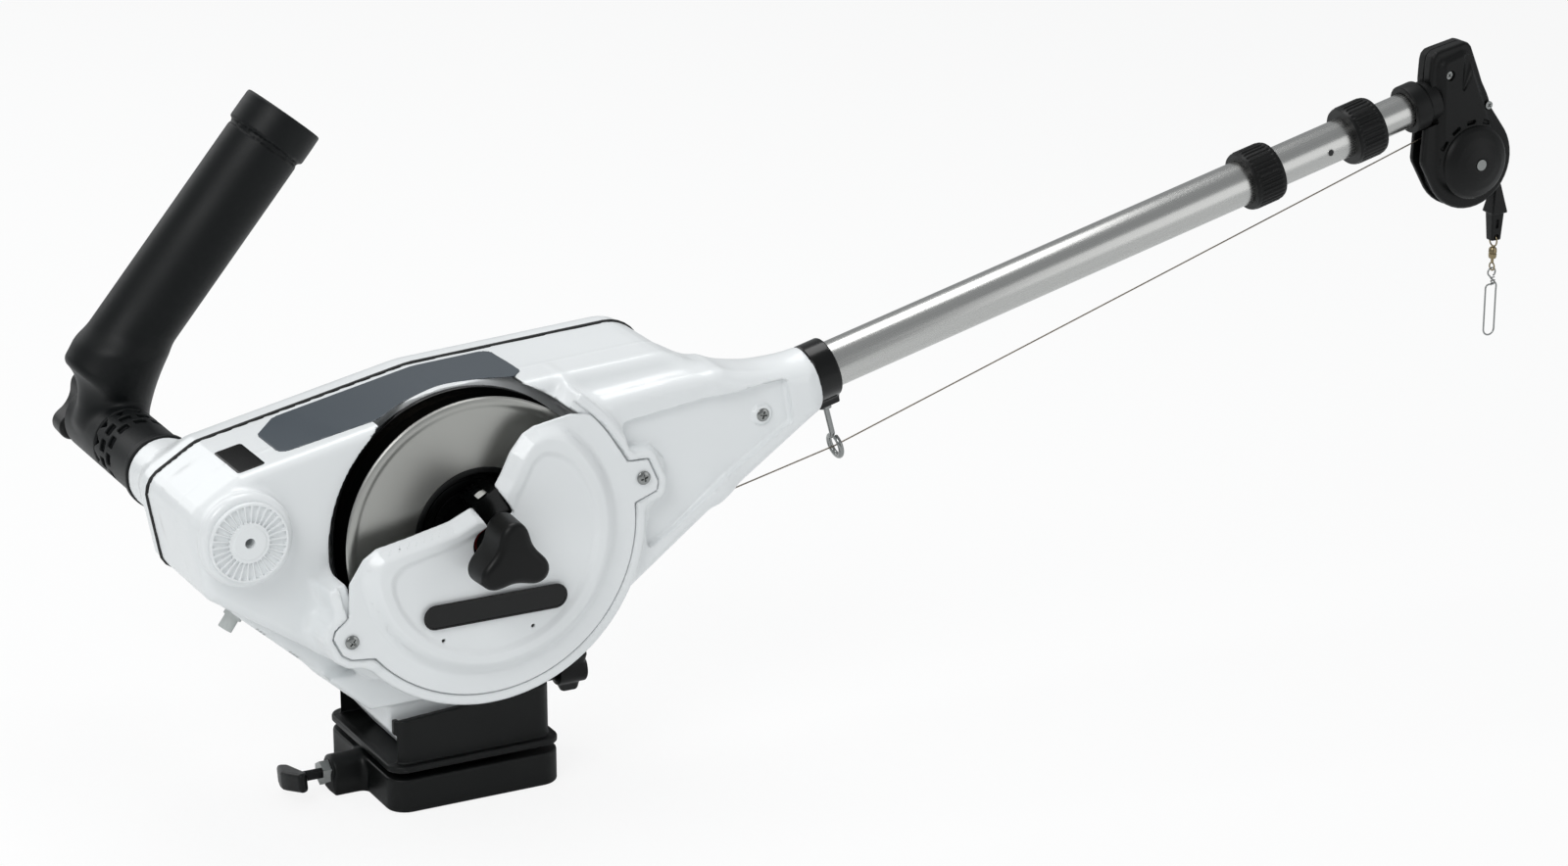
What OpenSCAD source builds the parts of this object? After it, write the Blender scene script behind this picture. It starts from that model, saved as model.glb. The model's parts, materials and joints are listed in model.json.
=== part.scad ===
// Electric downrigger: swivel base, motor housing with a cable reel, telescoping boom and rod holder.
// Millimetres. The origin is the middle of the base's underside. X runs along the boom,
// Y away from the reel cover, and Z up.

/* [Lower base] */
// Length of the base along the boom
base_l = 122; // [116:1:140]
// Width of the base
base_w = 116; // [112:1:130]
// Height of the base
base_h = 23.5; // [22:0.5:30]
// Radius of the base's corners
base_r = 14; // [8:1:16]
// Distance between the deck bolts along the boom
bolt_span_x = 96; // [92:1:98]
// Distance between the deck bolts across the boom
bolt_span_y = 88; // [84:1:92]
// Diameter of the deck bolt holes
bolt_hole_d = 7; // [5:0.5:8]

/* [Swivel] */
// Radius of the swivel disc that turns in the base
disc_r = 38; // [34:1:40]
// Depth of the swivel disc below the base's top
disc_depth = 16; // [12:1:18]
// Gap round the swivel disc
disc_gap = 0.6; // [0.4:0.1:1]
// Number of lock notches round the swivel disc
notch_count = 8; // [4:4:16]
// Diameter of the lock plunger
plunger_d = 7; // [5:0.5:8]
// Travel of the lock plunger
plunger_travel = 6; // [4:0.5:8]
// Diameter of the pivot bolt
pivot_d = 10; // [8:0.5:12]

/* [Tray] */
// Height of the tray's flange
flange_h = 5; // [3:0.5:7]
// How far the flange stands out of the tray's walls
flange_lip = 5; // [2:0.5:6]
// Length of the tray
tray_l = 112; // [108:1:114]
// Width of the tray
tray_w = 106; // [100:1:110]
// Top of the tray's walls at the boom end
tray_top = 70; // [66:0.5:71]
// Top of the tray's walls at the open end
tray_low = 63; // [60:0.5:66]
// Thickness of the tray's walls
tray_wall = 5; // [4:0.5:7]

/* [Housing] */
// Height of the reel's axis above the ground
reel_z = 190; // [186:1:196]
// Distance of the nose's centre behind the reel's axis
nose_x = 160; // [154:1:166]
// Height of the nose's centre above the ground
nose_z = 214; // [210:1:218]
// Radius of the nose
nose_r = 40; // [38:1:42]
// Height of the housing's back at its highest
back_z = 288.5; // [286:0.5:292]
// Height of the housing's back over the reel's axis
back_mid_z = 281; // [279:0.5:284]
// Distance of the housing's rear end past the reel's axis
tail_x = 161; // [158:1:166]
// Length of the housing's foot
foot_l = 138; // [132:1:146]
// Height of the foot's sole above the ground
foot_z = 71.5; // [69:0.5:76]
// Thickness of the housing's walls
wall = 3.5; // [2.5:0.5:5]
// Depth of the front shell behind the reel
shell_d = 56.5; // [50:1:64]
// Depth of the rear cover
cover_d = 44; // [40:1:52]
// Thickness of the gasket between the shells
gasket_t = 1.6; // [1:0.2:2.4]

/* [Reel] */
// Radius of the reel's flanges
reel_r = 92.3; // [88:0.1:95]
// Width of the reel over its flanges
reel_w = 28; // [26:0.5:32]
// Thickness of the polished front flange
front_flange_t = 2; // [1.5:0.5:3]
// Thickness of the moulded rear flange
rear_flange_t = 3; // [2:0.5:4]
// Radius of the middle of the cable's outer layer
wind_r = 66; // [62:1:72]
// Diameter of the cable
cable_d = 1; // [0.8:0.1:1.2]
// Distance between the turns of the outer layer
wind_pitch = 1.55; // [1.5:0.05:2]
// Number of turns in the outer layer
wind_turns = 13; // [8:1:14]
// Radius of the mouth of the reel's dished hub
dish_r = 42; // [40:1:46]

/* [Reel cover] */
// Radius of the round cover over the reel
cover_r = 104.3; // [102:0.1:106]
// Gap round the cover
cover_gap = 0.4; // [0.2:0.1:0.8]
// Thickness of the cover
cover_t = 2.5; // [2:0.5:3.5]
// How far the middle of the cover bulges
cover_bulge = 8; // [6:0.5:10]
// Width of the housing's rim round the cover
rim_w = 7.3; // [6:0.1:9]

/* [Drive] */
// Radius of the reel's shaft
shaft_r = 7; // [6:0.5:8]
// Teeth of the main gear
main_teeth = 72; // [66:2:74]
// Teeth of the idler gear
idler_teeth = 40; // [38:2:42]
// Teeth of the motor's pinion
pinion_teeth = 16; // [14:1:18]
// Module of the drive gears
drive_module = 1.25; // [1.2:0.01:1.28]
// Width of the drive gears
drive_face = 8; // [6:0.5:10]
// Radius of the motor
motor_r = 33; // [30:1:35]
// Length of the motor
motor_l = 62; // [56:1:66]
// Running clearance of shafts in their bores
run_gap = 0.05; // [0.03:0.01:0.08]

/* [Line counter] */
// Side of the counter's square case
counter_side = 19; // [18:0.5:20]
// Teeth of the gear on the reel's hub
hub_teeth = 30; // [28:1:32]
// Teeth of the counter's gear
counter_teeth = 17; // [16:1:18]
// Module of the counter's gears
counter_module = 1; // [0.95:0.01:1.04]

/* [Boom] */
// Rise of the boom from the level
boom_tilt = 14.5; // [12:0.5:18]
// Outer diameter of the fixed boom tube
tube_od = 31.75; // [31:0.05:32.5]
// Outer diameter of the middle tube
middle_od = 28.6; // [28.2:0.05:28.9]
// Outer diameter of the inner tube
inner_od = 25.4; // [25:0.05:25.8]
// Wall thickness of the boom tubes
tube_wall = 1.2; // [1:0.05:1.25]
// End of the fixed tube along the boom from the reel's axis
tube_end = 622; // [560:1:680]
// How far the middle tube shows past the fixed tube
middle_show = 88; // [70:1:100]
// How far the inner tube shows past the middle tube
inner_show = 52; // [44:1:60]
// Length of the twist collars
lock_l = 24; // [20:1:28]
// Radius of the twist collars
lock_r = 21.5; // [20:0.5:24]
// Length of the black collar on the snout
collar_l = 16.5; // [14:0.5:20]
// Radius of the snout's end
snout_r = 20.5; // [20:0.5:24]

/* [Pulley head] */
// Radius of the pulley's flanges
pulley_r = 33; // [32:0.5:33.5]
// Radius of the pulley's groove
groove_r = 29.5; // [27:0.5:30]
// Width of the pulley
pulley_w = 7; // [6:0.5:8]
// Thickness of the head over its two shells
head_w = 26; // [24:0.5:30]
// Radius of the domed pulley cap
dome_r = 27; // [25:0.5:28]

/* [Rod holder] */
// Outer diameter of the rod tube
rod_od = 54; // [50:1:58]
// Wall thickness of the rod tube
rod_wall = 3.5; // [3:0.5:5]
// Length of the rod tube above its hub's axis
rod_l = 240; // [200:1:280]
// Outer diameter of the arm
arm_od = 47; // [44:1:50]
// Length of the arm behind the rear cover
arm_l = 68; // [60:1:80]
// Length of the hub on the arm's end
hub_l = 61; // [58:1:70]
// Lean of the rod tube above the level
rod_lean = 50; // [40:1:80]

/* [Hidden] */

$fn = 64;
flat_gap = 0.3; // between flat faces of bodies that move past each other
white = "#e9eeee";
black = "#1a1f20";
steel = "#b9bcbb";
dark_grey = "#4a5157";

// Planes across Y, from the front of the reel cover to the back of the rear cover
rim_y = -83.5;
reel_front_y = rim_y + 16;
reel_rear_y = reel_front_y + reel_w;
wall_y = reel_rear_y + 6.5;
seam_y = wall_y + shell_d;
rear_y = seam_y + gasket_t;
back_y = rear_y + cover_d;
boom_y = (reel_front_y + reel_rear_y) / 2;

// Base and tray
disc_top = base_h + flat_gap;
disc_bottom = base_h - disc_depth;
flange_z = base_h + 4.5;
tray_floor = flange_z + flange_h;
plunger_z = disc_bottom + 7;
plunger_in = -(disc_r - 5);
boss_end = -base_l / 2 - 22;
nut_l = 7;
notch_w = plunger_d + 0.6;
notch_top = plunger_z + notch_w / 2;
inner_tray_w = tray_w - 2 * tray_wall;
tray_corner = 1;
foot_w = inner_tray_w - 4;
tongue_w = inner_tray_w - 2 * flat_gap;
rail_in = 6;
clamp_z = tray_floor + 21;

// Housing
pocket_r = cover_r - 6;
drum_r = cover_r + cover_gap + rim_w;
inner_drum_r = drum_r - wall;
tail_r = 26.5;
tail_z = back_z - tail_r;
mid_r = 70;
nose_front_y = rim_y + 10.5;
snout_y = rim_y + 9;
nose_face_r = 33;
foot_top = foot_z + 25.5;
recess_y = rim_y + 11;
ear_left = [-97, -51.5];
ear_right = [110, 25.5];
snout_screw = [203, 51];
ear_r = 9;

// Drive train: the idler's phase puts one of its teeth on the line to the pinion
gear_y = wall_y + 13;
plate_y = gear_y + drive_face + 6;
plate_t = 4;
idler_dir = 188;
idler_c = [cos(idler_dir), sin(idler_dir)] * drive_module * (main_teeth + idler_teeth) / 2;
idler_phase = idler_dir + 180 + 180 / idler_teeth;
pinion_dir = idler_phase + 360 / idler_teeth * round((idler_dir - 22 - idler_phase) * idler_teeth / 360);
pinion_c = idler_c + [cos(pinion_dir), sin(pinion_dir)] * drive_module * (idler_teeth + pinion_teeth) / 2;
plate_posts = [[-42, 50], [-38, -58], [36, -52], [44, 42]];

// Counter
counter_dist = counter_module * (hub_teeth + counter_teeth) / 2;
counter_dir = 87.5;
counter_c = [cos(counter_dir), sin(counter_dir)] * counter_dist;
counter_front_y = rim_y - 2;
counter_back_y = rim_y + 18;
hub_gear_y = counter_back_y + 0.5;
hub_gear_t = 5.5;
wheel_r = 8.2;
wheel_w = 4.8;

// Boom stations, measured along the boom from the reel's axis
boom_lift = 2.5;
snout_end = 254;
tube_start = 130;
lower_lock = tube_end - 2;
middle_start = tube_start + 30;
middle_end = tube_end + middle_show;
upper_lock = middle_end - 3;
inner_start = middle_start + 25;
inner_end = middle_end + inner_show;
neck_start = inner_end - 14;
neck_l = 12;
tube_ri = tube_od / 2 - tube_wall;
middle_ri = middle_od / 2 - tube_wall;

// Head: its pulley hangs under the end of the boom
head_x = (inner_end + 12) * cos(boom_tilt);
pulley_c = [head_x + 28, reel_z + 148];
pulley_bore = 4;
line_x = pulley_c[0] + groove_r + cable_d / 2 + 0.3;

// Cable route: reel, slot under the snout, eye, pulley
eye_s = snout_end + collar_l / 2;
eye_drop = 57;
eye_c = [eye_s * cos(boom_tilt) + eye_drop * sin(boom_tilt), boom_y,
    reel_z + boom_lift + eye_s * sin(boom_tilt) - eye_drop * cos(boom_tilt)];
slot_p = [158, boom_y + 4, 175];
lead_y = boom_y + 6;
lead_a = atan2(slot_p[2] - reel_z, slot_p[0]);
lead_d = norm([slot_p[0], slot_p[2] - reel_z]);
lead_r = wind_r + cable_d / 2 + 0.9;
lead_t = lead_a - acos(lead_r / lead_d);
lead_start = [lead_r * cos(lead_t), lead_y, reel_z + lead_r * sin(lead_t)];
groove_line_r = groove_r + cable_d / 2 + 0.3;
span_d = norm([pulley_c[0] - eye_c[0], pulley_c[1] - eye_c[2]]);
span_t = atan2(pulley_c[1] - eye_c[2], pulley_c[0] - eye_c[0]) + asin(groove_line_r / span_d);
span_end = [pulley_c[0] - groove_line_r * sin(span_t), boom_y, pulley_c[1] + groove_line_r * cos(span_t)];

// Rod holder: the arm stands on the rear cover, and the tube leans on the toothed hub at its end
arm_x = -nose_x - 4;
arm_z = nose_z + 2;
arm_r = arm_od / 2;
arm_end = back_y + arm_l;
tooth_l = 8;
hub_start = arm_end + flat_gap;
hub_end = hub_start + hub_l;
rod_y = hub_end - rod_od / 2;
rod_r = rod_od / 2;
rod_side = 28;
hub_pin_r = 8;

// Helpers
module along_y(y0, y1, r, x = 0, z = 0, r2 = -1) {
    translate([x, y0, z]) rotate([-90, 0, 0])
        cylinder(h = y1 - y0, r1 = r, r2 = r2 < 0 ? r : r2);
}
module along_x(x0, x1, r, y = 0, z = 0) {
    translate([x0, y, z]) rotate([0, 90, 0]) cylinder(h = x1 - x0, r = r);
}
module slab(y0, y1) {
    translate([0, y1, 0]) rotate([90, 0, 0]) linear_extrude(y1 - y0) children();
}
module turned(points) {
    translate([0, 0, reel_z]) rotate([-90, 0, 0]) rotate_extrude($fn = 128) polygon(points);
}
module on_boom(s = 0) {
    translate([0, boom_y, reel_z + boom_lift]) rotate([0, 90 - boom_tilt, 0]) translate([0, 0, s]) children();
}
module boom_ring(s0, s1, ro, ri) {
    on_boom(s0) difference() {
        cylinder(h = s1 - s0, r = ro);
        translate([0, 0, -1]) cylinder(h = s1 - s0 + 2, r = ri);
    }
}
module on_arm(y) {
    translate([arm_x, y, arm_z]) rotate([-90, 0, 0]) children();
}
module on_rod(t) {
    translate([arm_x, rod_y, arm_z]) rotate([0, 90 - rod_lean, 0]) translate([-rod_side, 0, t]) children();
}
module rounded(l, w, r) {
    hull() for (x = [-1, 1], y = [-1, 1]) translate([x * (l / 2 - r), y * (w / 2 - r)]) circle(r, $fn = 48);
}
module rounded_block(l, w, r, z0, z1) {
    translate([0, 0, z0]) linear_extrude(z1 - z0) union() {
        square([l - 2 * r, w], center = true);
        square([l, w - 2 * r], center = true);
        for (x = [-1, 1], y = [-1, 1]) translate([x * (l / 2 - r), y * (w / 2 - r)]) circle(r);
    }
}
// Gear outline with straight flanks: four points a tooth
function gear_points(teeth, m, phase) = [for (i = [0:teeth - 1], k = [0:3])
    let (half = 79 / teeth, a = phase + 360 * i / teeth + half * [-1.5, -0.52, 0.52, 1.5][k],
        r = m * (teeth / 2 + [-1.22, 0.92, 0.92, -1.22][k])) [r * cos(a), r * sin(a)]];
module gear(teeth, m, phase, y0, y1, c, bore) {
    translate([0, 0, reel_z]) slab(y0, y1) translate(c) difference() {
        polygon(gear_points(teeth, m, phase));
        circle(bore);
    }
}
// Round cross-head screw along Y, its head's face at y
module pan_screw(y, l, r = 2.4) {
    difference() {
        union() {
            along_y(y, y + 2.6, r * 1.95);
            along_y(y + 2.6, y + l, r);
        }
        for (a = [45, 135]) translate([0, y + 0.6, 0]) rotate([0, a, 0]) cube([r * 2.2, 1.4, 0.9], center = true);
    }
}
// Tube swept along a path of points, with rings square to the path
function unit(v) = v / norm(v);
function sweep_dir(p, i) = unit(i == 0 ? p[1] - p[0] : i == len(p) - 1 ? p[i] - p[i - 1] : p[i + 1] - p[i - 1]);
function sweep_side(d) = unit(cross(d, abs(d[1]) < 0.9 ? [0, 1, 0] : [1, 0, 0]));
module sweep(p, r, sides) {
    n = len(p);
    rings = [for (i = [0:n - 1]) let (d = sweep_dir(p, i), u = sweep_side(d), v = cross(d, u))
        for (k = [0:sides - 1]) p[i] + r * (u * cos(360 * k / sides) + v * sin(360 * k / sides))];
    faces = concat([[for (k = [sides - 1:-1:0]) k]],
        [for (i = [0:n - 2], k = [0:sides - 1]) let (a = i * sides, b = (k + 1) % sides)
            for (t = [[a + k, a + b, a + sides + b], [a + k, a + sides + b, a + sides + k]]) t],
        [[for (k = [0:sides - 1]) (n - 1) * sides + k]]);
    polyhedron(rings, [for (f = faces) [for (k = [len(f) - 1:-1:0]) f[k]]]);
}

// Outlines in the plane of the reel
module body_outline() {
    hull() {
        translate([-nose_x, nose_z]) circle(nose_r, $fn = 72);
        translate([0, back_mid_z - mid_r]) circle(mid_r, $fn = 72);
        translate([tail_x - tail_r, tail_z]) circle(tail_r, $fn = 48);
        for (x = [-1, 1]) translate([x * (foot_l / 2 - 4), foot_z + 4]) circle(4, $fn = 24);
    }
}
module cover_ears() {
    k = cover_r / 104.3;
    polygon([for (p = [[-80, -20], [-80, -66], [-97, -64], [-103, -60], [-109, -48], [-107, -43],
        [-98, -35], [-98, -20]]) p * k]);
    polygon([for (p = [[80, 62], [93, 48], [99, 38], [114, 37], [121, 21], [120, 15], [104, 9], [80, 9]]) p * k]);
}
module cover_window() {
    k = cover_r / 104.3;
    polygon([for (p = [[-112, 110], [-112, -33], [-98, -33], [-97, -13], [-87, 2], [-78, 8], [-56, 12],
        [-28, 18], [-13, 24.5], [0, 24], [4, 36], [9, 44], [16, 58], [25, 69], [33, 73],
        [59, 77], [73, 75], [80, 82], [60, 110]]) p * k]);
}

module lower_base() {
    color(black) difference() {
        union() {
            rounded_block(base_l, base_w, base_r, 0, base_h);
            along_x(boss_end, -base_l / 2 + 2, 11.5, 0, plunger_z);
            translate([boss_end, -10, 0]) cube([2 - boss_end - base_l / 2, 20, plunger_z]);
        }
        translate([0, 0, disc_bottom - flat_gap]) cylinder(h = base_h, r = disc_r + disc_gap);
        translate([0, 0, -1]) cylinder(h = base_h, r = pivot_d / 2 + 0.1);
        translate([0, 0, -1]) cylinder(h = disc_bottom - 2.5, r = pivot_d);
        along_x(boss_end - 1, -disc_r + 3, plunger_d / 2 + run_gap, 0, plunger_z);
        along_x(boss_end - 1, -disc_r - 6, 6, 0, plunger_z);
        for (x = [-1, 1], y = [-1, 1])
            translate([x * bolt_span_x / 2, y * bolt_span_y / 2, -1]) cylinder(h = base_h + 2, r = bolt_hole_d / 2);
    }
}
module pivot_bolt() {
    color(steel) union() {
        cylinder(h = disc_bottom - 4, r = 8.5);
        cylinder(h = tray_floor + 5, r = pivot_d / 2);
        translate([0, 0, tray_floor + 0.3]) cylinder(h = 5, r = pivot_d * 0.85, $fn = 6);
    }
}
module plunger_nut() {
    color(steel) difference() {
        union() {
            along_x(boss_end - nut_l, boss_end, 8.5, 0, plunger_z, $fn = 6);
            along_x(boss_end, -disc_r - 17, 5.9, 0, plunger_z);
        }
        along_x(boss_end - 30, 0, plunger_d / 2 + run_gap, 0, plunger_z);
    }
}
module lock_plunger() {
    color(black) union() {
        along_x(boss_end - 30, plunger_in - plunger_travel, plunger_d / 2, 0, plunger_z);
        translate([boss_end - 28, 0, plunger_z]) rotate([-12, 0, 0]) hull() for (y = [-1, 1]) {
            translate([3, y * 16, 0]) cube([7, 14, 7], center = true);
            translate([-3, y * 13, 0]) cube([6, 12, 12], center = true);
        }
    }
}
function spring_points(x0, x1, r, turns) = [for (i = [0:turns * 8])
    [x0 + (x1 - x0) * i / (turns * 8), r * cos(45 * i), plunger_z + r * sin(45 * i)]];
module plunger_spring() {
    color(steel) sweep(spring_points(-disc_r - 15.5, -disc_r - 6.5, 4.75, 4), 0.4, 6);
}
module swivel_tray() {
    color(black) difference() {
        union() {
            translate([0, 0, disc_bottom]) cylinder(h = flange_z - disc_bottom + 1, r = disc_r);
            translate([0, 0, disc_top]) cylinder(h = flange_z - disc_top + 1, r = disc_r + 8);
            rounded_block(tray_l + 2 * flange_lip, tray_w + 2 * flange_lip, 12, flange_z, tray_floor);
            rounded_block(tray_l, tray_w, 10, tray_floor - 1, tray_top);
        }
        translate([-20 - tray_wall, 0, 0]) rounded_block(tray_l + 40, inner_tray_w, tray_corner, tray_floor, tray_top + 1);
        slab(-tray_w, tray_w) polygon([[-tray_l, tray_low - 4], [tray_l / 2, tray_top], [tray_l, tray_top + 9], [-tray_l, tray_top + 9]]);
        cylinder(h = tray_top, r = pivot_d / 2 + run_gap);
        for (i = [0:notch_count - 1]) rotate([0, 0, 360 * i / notch_count])
            translate([-disc_r - 2, -notch_w / 2, disc_bottom - 1]) cube([disc_r + 2.5 + plunger_in, notch_w, notch_top - disc_bottom + 1]);
        along_x(tray_l / 2 - tray_wall - 1, tray_l / 2 + 1, 5 + run_gap, 0, clamp_z);
    }
    color(black) for (y = [-1, 1]) translate([-6, y * (inner_tray_w / 2 - rail_in / 2 + 0.01), tray_floor + 15])
        cube([tray_l - 26, rail_in, 5], center = true);
}
module clamp_knob() {
    x0 = tray_l / 2;
    color(black) union() {
        along_x(x0 - tray_wall - 0.7, x0 + 28, 5, 0, clamp_z);
        along_x(x0 + flat_gap, x0 + 6, 9, 0, clamp_z);
        along_x(x0 + 26, x0 + 48, 9, 0, clamp_z);
        translate([x0 + 36, 0, clamp_z]) rotate([28, 0, 0]) hull() for (z = [-1, 1]) {
            translate([0, 0, z * 10]) cube([14, 9, 10], center = true);
            translate([5, 0, z * 14]) cube([12, 7, 10], center = true);
        }
    }
}

// Front shell: body, nose, drum round the reel, snout for the boom and foot
module nose_boss(inset = 0) {
    along_y(nose_front_y + inset, wall_y - 6, nose_face_r - inset, -nose_x, nose_z, nose_r - 0.4 - inset);
    along_y(wall_y - 6, wall_y + 1 + inset, nose_r - 0.4 - inset, -nose_x, nose_z);
}
module snout() {
    hull() {
        along_y(snout_y, wall_y + 2, 24, 134, back_z - 37, $fn = 32);
        along_y(snout_y, wall_y + 2, 26, 60, back_z - 46, $fn = 32);
        along_y(snout_y - 4, wall_y + 2, 9, 103, 125, $fn = 24);
        along_y(snout_y - 3, wall_y + 2, 8, 170, 196, $fn = 24);
        along_y(snout_y - 1, wall_y + 2, 20, 172, 256.5, $fn = 32);
    }
    hull() {
        along_y(snout_y - 2.4, wall_y + 1, 7.5, 168, 196.5, $fn = 24);
        along_y(snout_y - 0.4, wall_y + 1, 19.5, 170, 256, $fn = 32);
        on_boom(snout_end - 14) cylinder(h = 14, r = snout_r, $fn = 32);
    }
}
module drum_outline() {
    difference() {
        union() {
            circle(drum_r, $fn = 128);
            translate(ear_left) circle(20);
            translate(ear_right) circle(20);
        }
        polygon([[0, 0], [-140, -20], [-140, 160], [118, 160]]);
    }
}
module main_frame() {
    color(white) difference() {
        union() {
            difference() {
                slab(wall_y, seam_y) body_outline();
                slab(wall_y + wall, seam_y + 1) offset(delta = -wall) body_outline();
            }
            nose_boss();
            snout();
            translate([0, 0, reel_z]) slab(rim_y, wall_y + 1) drum_outline();
            along_y(wall_y + 1, gear_y - 2, 16, 0, reel_z);
            slab(-foot_w / 2, foot_w / 2) intersection() {
                body_outline();
                translate([-200, foot_z - 1]) square([400, foot_top - foot_z + 1]);
            }
            translate([-tray_l / 2, -tongue_w / 2 + rail_in + 1, tray_floor + 4])
                cube([tray_l - tray_wall - 1, tongue_w - 2 * rail_in - 2, foot_z - tray_floor]);
            translate([-tray_l / 2, -tongue_w / 2, tray_floor]) cube([tray_l - tray_wall - 1, tongue_w, 12]);
        }
        // Reel pocket, open to the back over the reel
        along_y(rim_y - 1, wall_y, pocket_r, 0, reel_z);
        along_y(rim_y - 1, rim_y + cover_t + cover_gap, cover_r + cover_gap, 0, reel_z);
        difference() {
            along_y(rim_y + cover_t + 3, wall_y - 0.5, inner_drum_r, 0, reel_z);
            for (c = [ear_left, ear_right]) along_y(rim_y, wall_y, ear_r, c[0], reel_z + c[1]);
        }
        translate([0, 0, reel_z]) slab(rim_y - 1, rim_y + cover_t + cover_gap) offset(delta = cover_gap) cover_ears();
        for (c = [ear_left, ear_right]) along_y(rim_y - 5, rim_y + 22, 2.5, c[0], reel_z + c[1]);
        // Nose, its bolt hole and the shaft's bush
        difference() {
            nose_boss(wall);
            along_y(nose_front_y, wall_y + wall + 3, 8, -nose_x, nose_z);
        }
        along_y(nose_front_y - 1, nose_front_y + 60, 3.25, -nose_x, nose_z);
        along_y(wall_y - 1, gear_y, shaft_r + 3 + run_gap, 0, reel_z);
        // Boom tube, cable way, cable slot and the snout's front recess
        on_boom(tube_start - 2) cylinder(h = 200, r = tube_od / 2 + run_gap);
        slab(boom_y - 10.5, boom_y + 11.5) polygon([[88, 122], [108, 126], [138, 168], [166, 196], [160, 207], [88, 207]]);
        slab(boom_y - 3, boom_y + 9) polygon([[120, 120], [166, 150], [185, 190], [150, 196], [118, 160]]);
        slab(rim_y - 5, recess_y) polygon([[124, 150], [124, 218], [190, 252], [222, 255], [229, 244], [206, 224],
            [164, 192], [140, 166]]);
        // Power inlet, snout screw and the tongue's clearance over the pivot bolt
        inlet_place() translate([0, 0, -12]) cylinder(h = 24, r = 5 + run_gap);
        along_y(rim_y - 5, rim_y + 13.5, 2.5, snout_screw[0], reel_z + snout_screw[1]);
        translate([0, 0, tray_floor - 1]) cylinder(h = 10, r = pivot_d);
    }
}
module inlet_place() {
    translate([-144, 0, 139]) rotate([0, 180 + 36, 0]) children();
}
module rear_cover() {
    color(white) difference() {
        hull() {
            slab(rear_y, back_y - 16) body_trim() body_outline();
            slab(back_y - 5, back_y) offset(delta = -13) body_trim() body_outline();
            slab(back_y - 12, back_y - 5) offset(delta = -4) body_trim() body_outline();
        }
        hull() {
            slab(rear_y - 1, back_y - 16) offset(delta = -wall) body_trim() body_outline();
            slab(back_y - 7, back_y - wall) offset(delta = -13 - wall) body_trim() body_outline();
        }
        along_y(back_y - 20, back_y + 5, 6.1, switch_p[0], switch_p[1]);
        for (p = rear_screws) {
            along_y(back_y - 20, back_y + 5, 2.5, p[0], p[1]);
            along_y(back_y - 2.6, back_y + 5, 4.75, p[0], p[1]);
        }
    }
}
module body_trim() {
    intersection() {
        children();
        translate([-300, foot_z + 26]) square([600, 300]);
    }
}
rear_screws = [[-150, 186], [-96, 242], [30, 260], [118, 258], [76, 128], [-78, 130]];
switch_p = [-48, 232];
module cover_gasket() {
    color(black) slab(seam_y, rear_y) difference() {
        offset(delta = -0.4) body_trim() body_outline();
        offset(delta = -wall) body_trim() body_outline();
    }
}
module reel_cover() {
    bulge_r = cover_r - 13;
    color(white) difference() {
        union() {
            turned([[0, rim_y - cover_bulge], [bulge_r - 14, rim_y - cover_bulge], [bulge_r, rim_y], [cover_r, rim_y],
                [cover_r, rim_y + cover_t], [bulge_r - 1, rim_y + cover_t],
                [bulge_r - 15, rim_y - cover_bulge + cover_t], [0, rim_y - cover_bulge + cover_t]]);
            translate([0, 0, reel_z]) slab(rim_y, rim_y + cover_t) difference() {
                cover_ears();
                circle(bulge_r + 2);
            }
        }
        translate([0, 0, reel_z]) slab(rim_y - cover_bulge - 2, rim_y + cover_t + 1) cover_window();
        along_y(rim_y - 20, rim_y + 5, 13.5, 0, reel_z);
        for (c = [ear_left, ear_right]) along_y(rim_y - 5, rim_y + 5, 2.6, c[0], reel_z + c[1]);
        for (x = [-31, 31]) along_y(rim_y - 20, rim_y + 5, 1.2, x, reel_z - 63);
        translate([0, 0, reel_z]) slab(rim_y - 20, rim_y + 5) translate(counter_c) rotate(30)
            square(counter_side + 0.02, center = true);
    }
}
module cover_screws() {
    color(steel) {
        for (c = [ear_left, ear_right]) translate([c[0], rim_y, reel_z + c[1]]) pan_screw(-2.6, 18);
        translate([snout_screw[0], recess_y, reel_z + snout_screw[1]]) pan_screw(-2.6, 5);
        for (p = rear_screws) translate([p[0], back_y, p[1]]) rotate([0, 0, 180]) pan_screw(0, 12);
    }
}
module nameplate() {
    y0 = rim_y - cover_bulge;
    color(black) translate([0, 0, reel_z - 42]) slab(y0 - 0.8, y0) hull() for (x = [-1, 1]) translate([x * 42, 0]) circle(8.5, $fn = 32);
}
module labels() {
    color(dark_grey) slab(wall_y + 2, seam_y - 7) intersection() {
        difference() {
            offset(delta = 0.4) body_outline();
            body_outline();
        }
        union() {
            translate([-130, 235]) square([190, 80]);
            translate([-164, 235]) square([22, 80]);
        }
    }
}
module rod_seat() {
    color(white) difference() {
        union() {
            along_y(nose_front_y - 3, nose_front_y, 29, -nose_x, nose_z);
            along_y(nose_front_y - 4, nose_front_y, 11, -nose_x, nose_z);
            for (i = [0:29]) translate([-nose_x, nose_front_y - 3.5, nose_z]) rotate([0, 12 * i, 0])
                translate([17.5, 0, 0]) cube([14, 1.4, 1.8], center = true);
        }
        along_y(nose_front_y - 6, nose_front_y + 1, 3.25, -nose_x, nose_z);
    }
}
module power_inlet() {
    color("#c9cdca") inlet_place() difference() {
        union() {
            translate([0, 0, -7]) cylinder(h = 20, r = 5);
            translate([0, 0, 1]) cylinder(h = 3, r = 6.5);
        }
        translate([0, 0, 5]) cylinder(h = 9, r = 3.2);
    }
}
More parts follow.
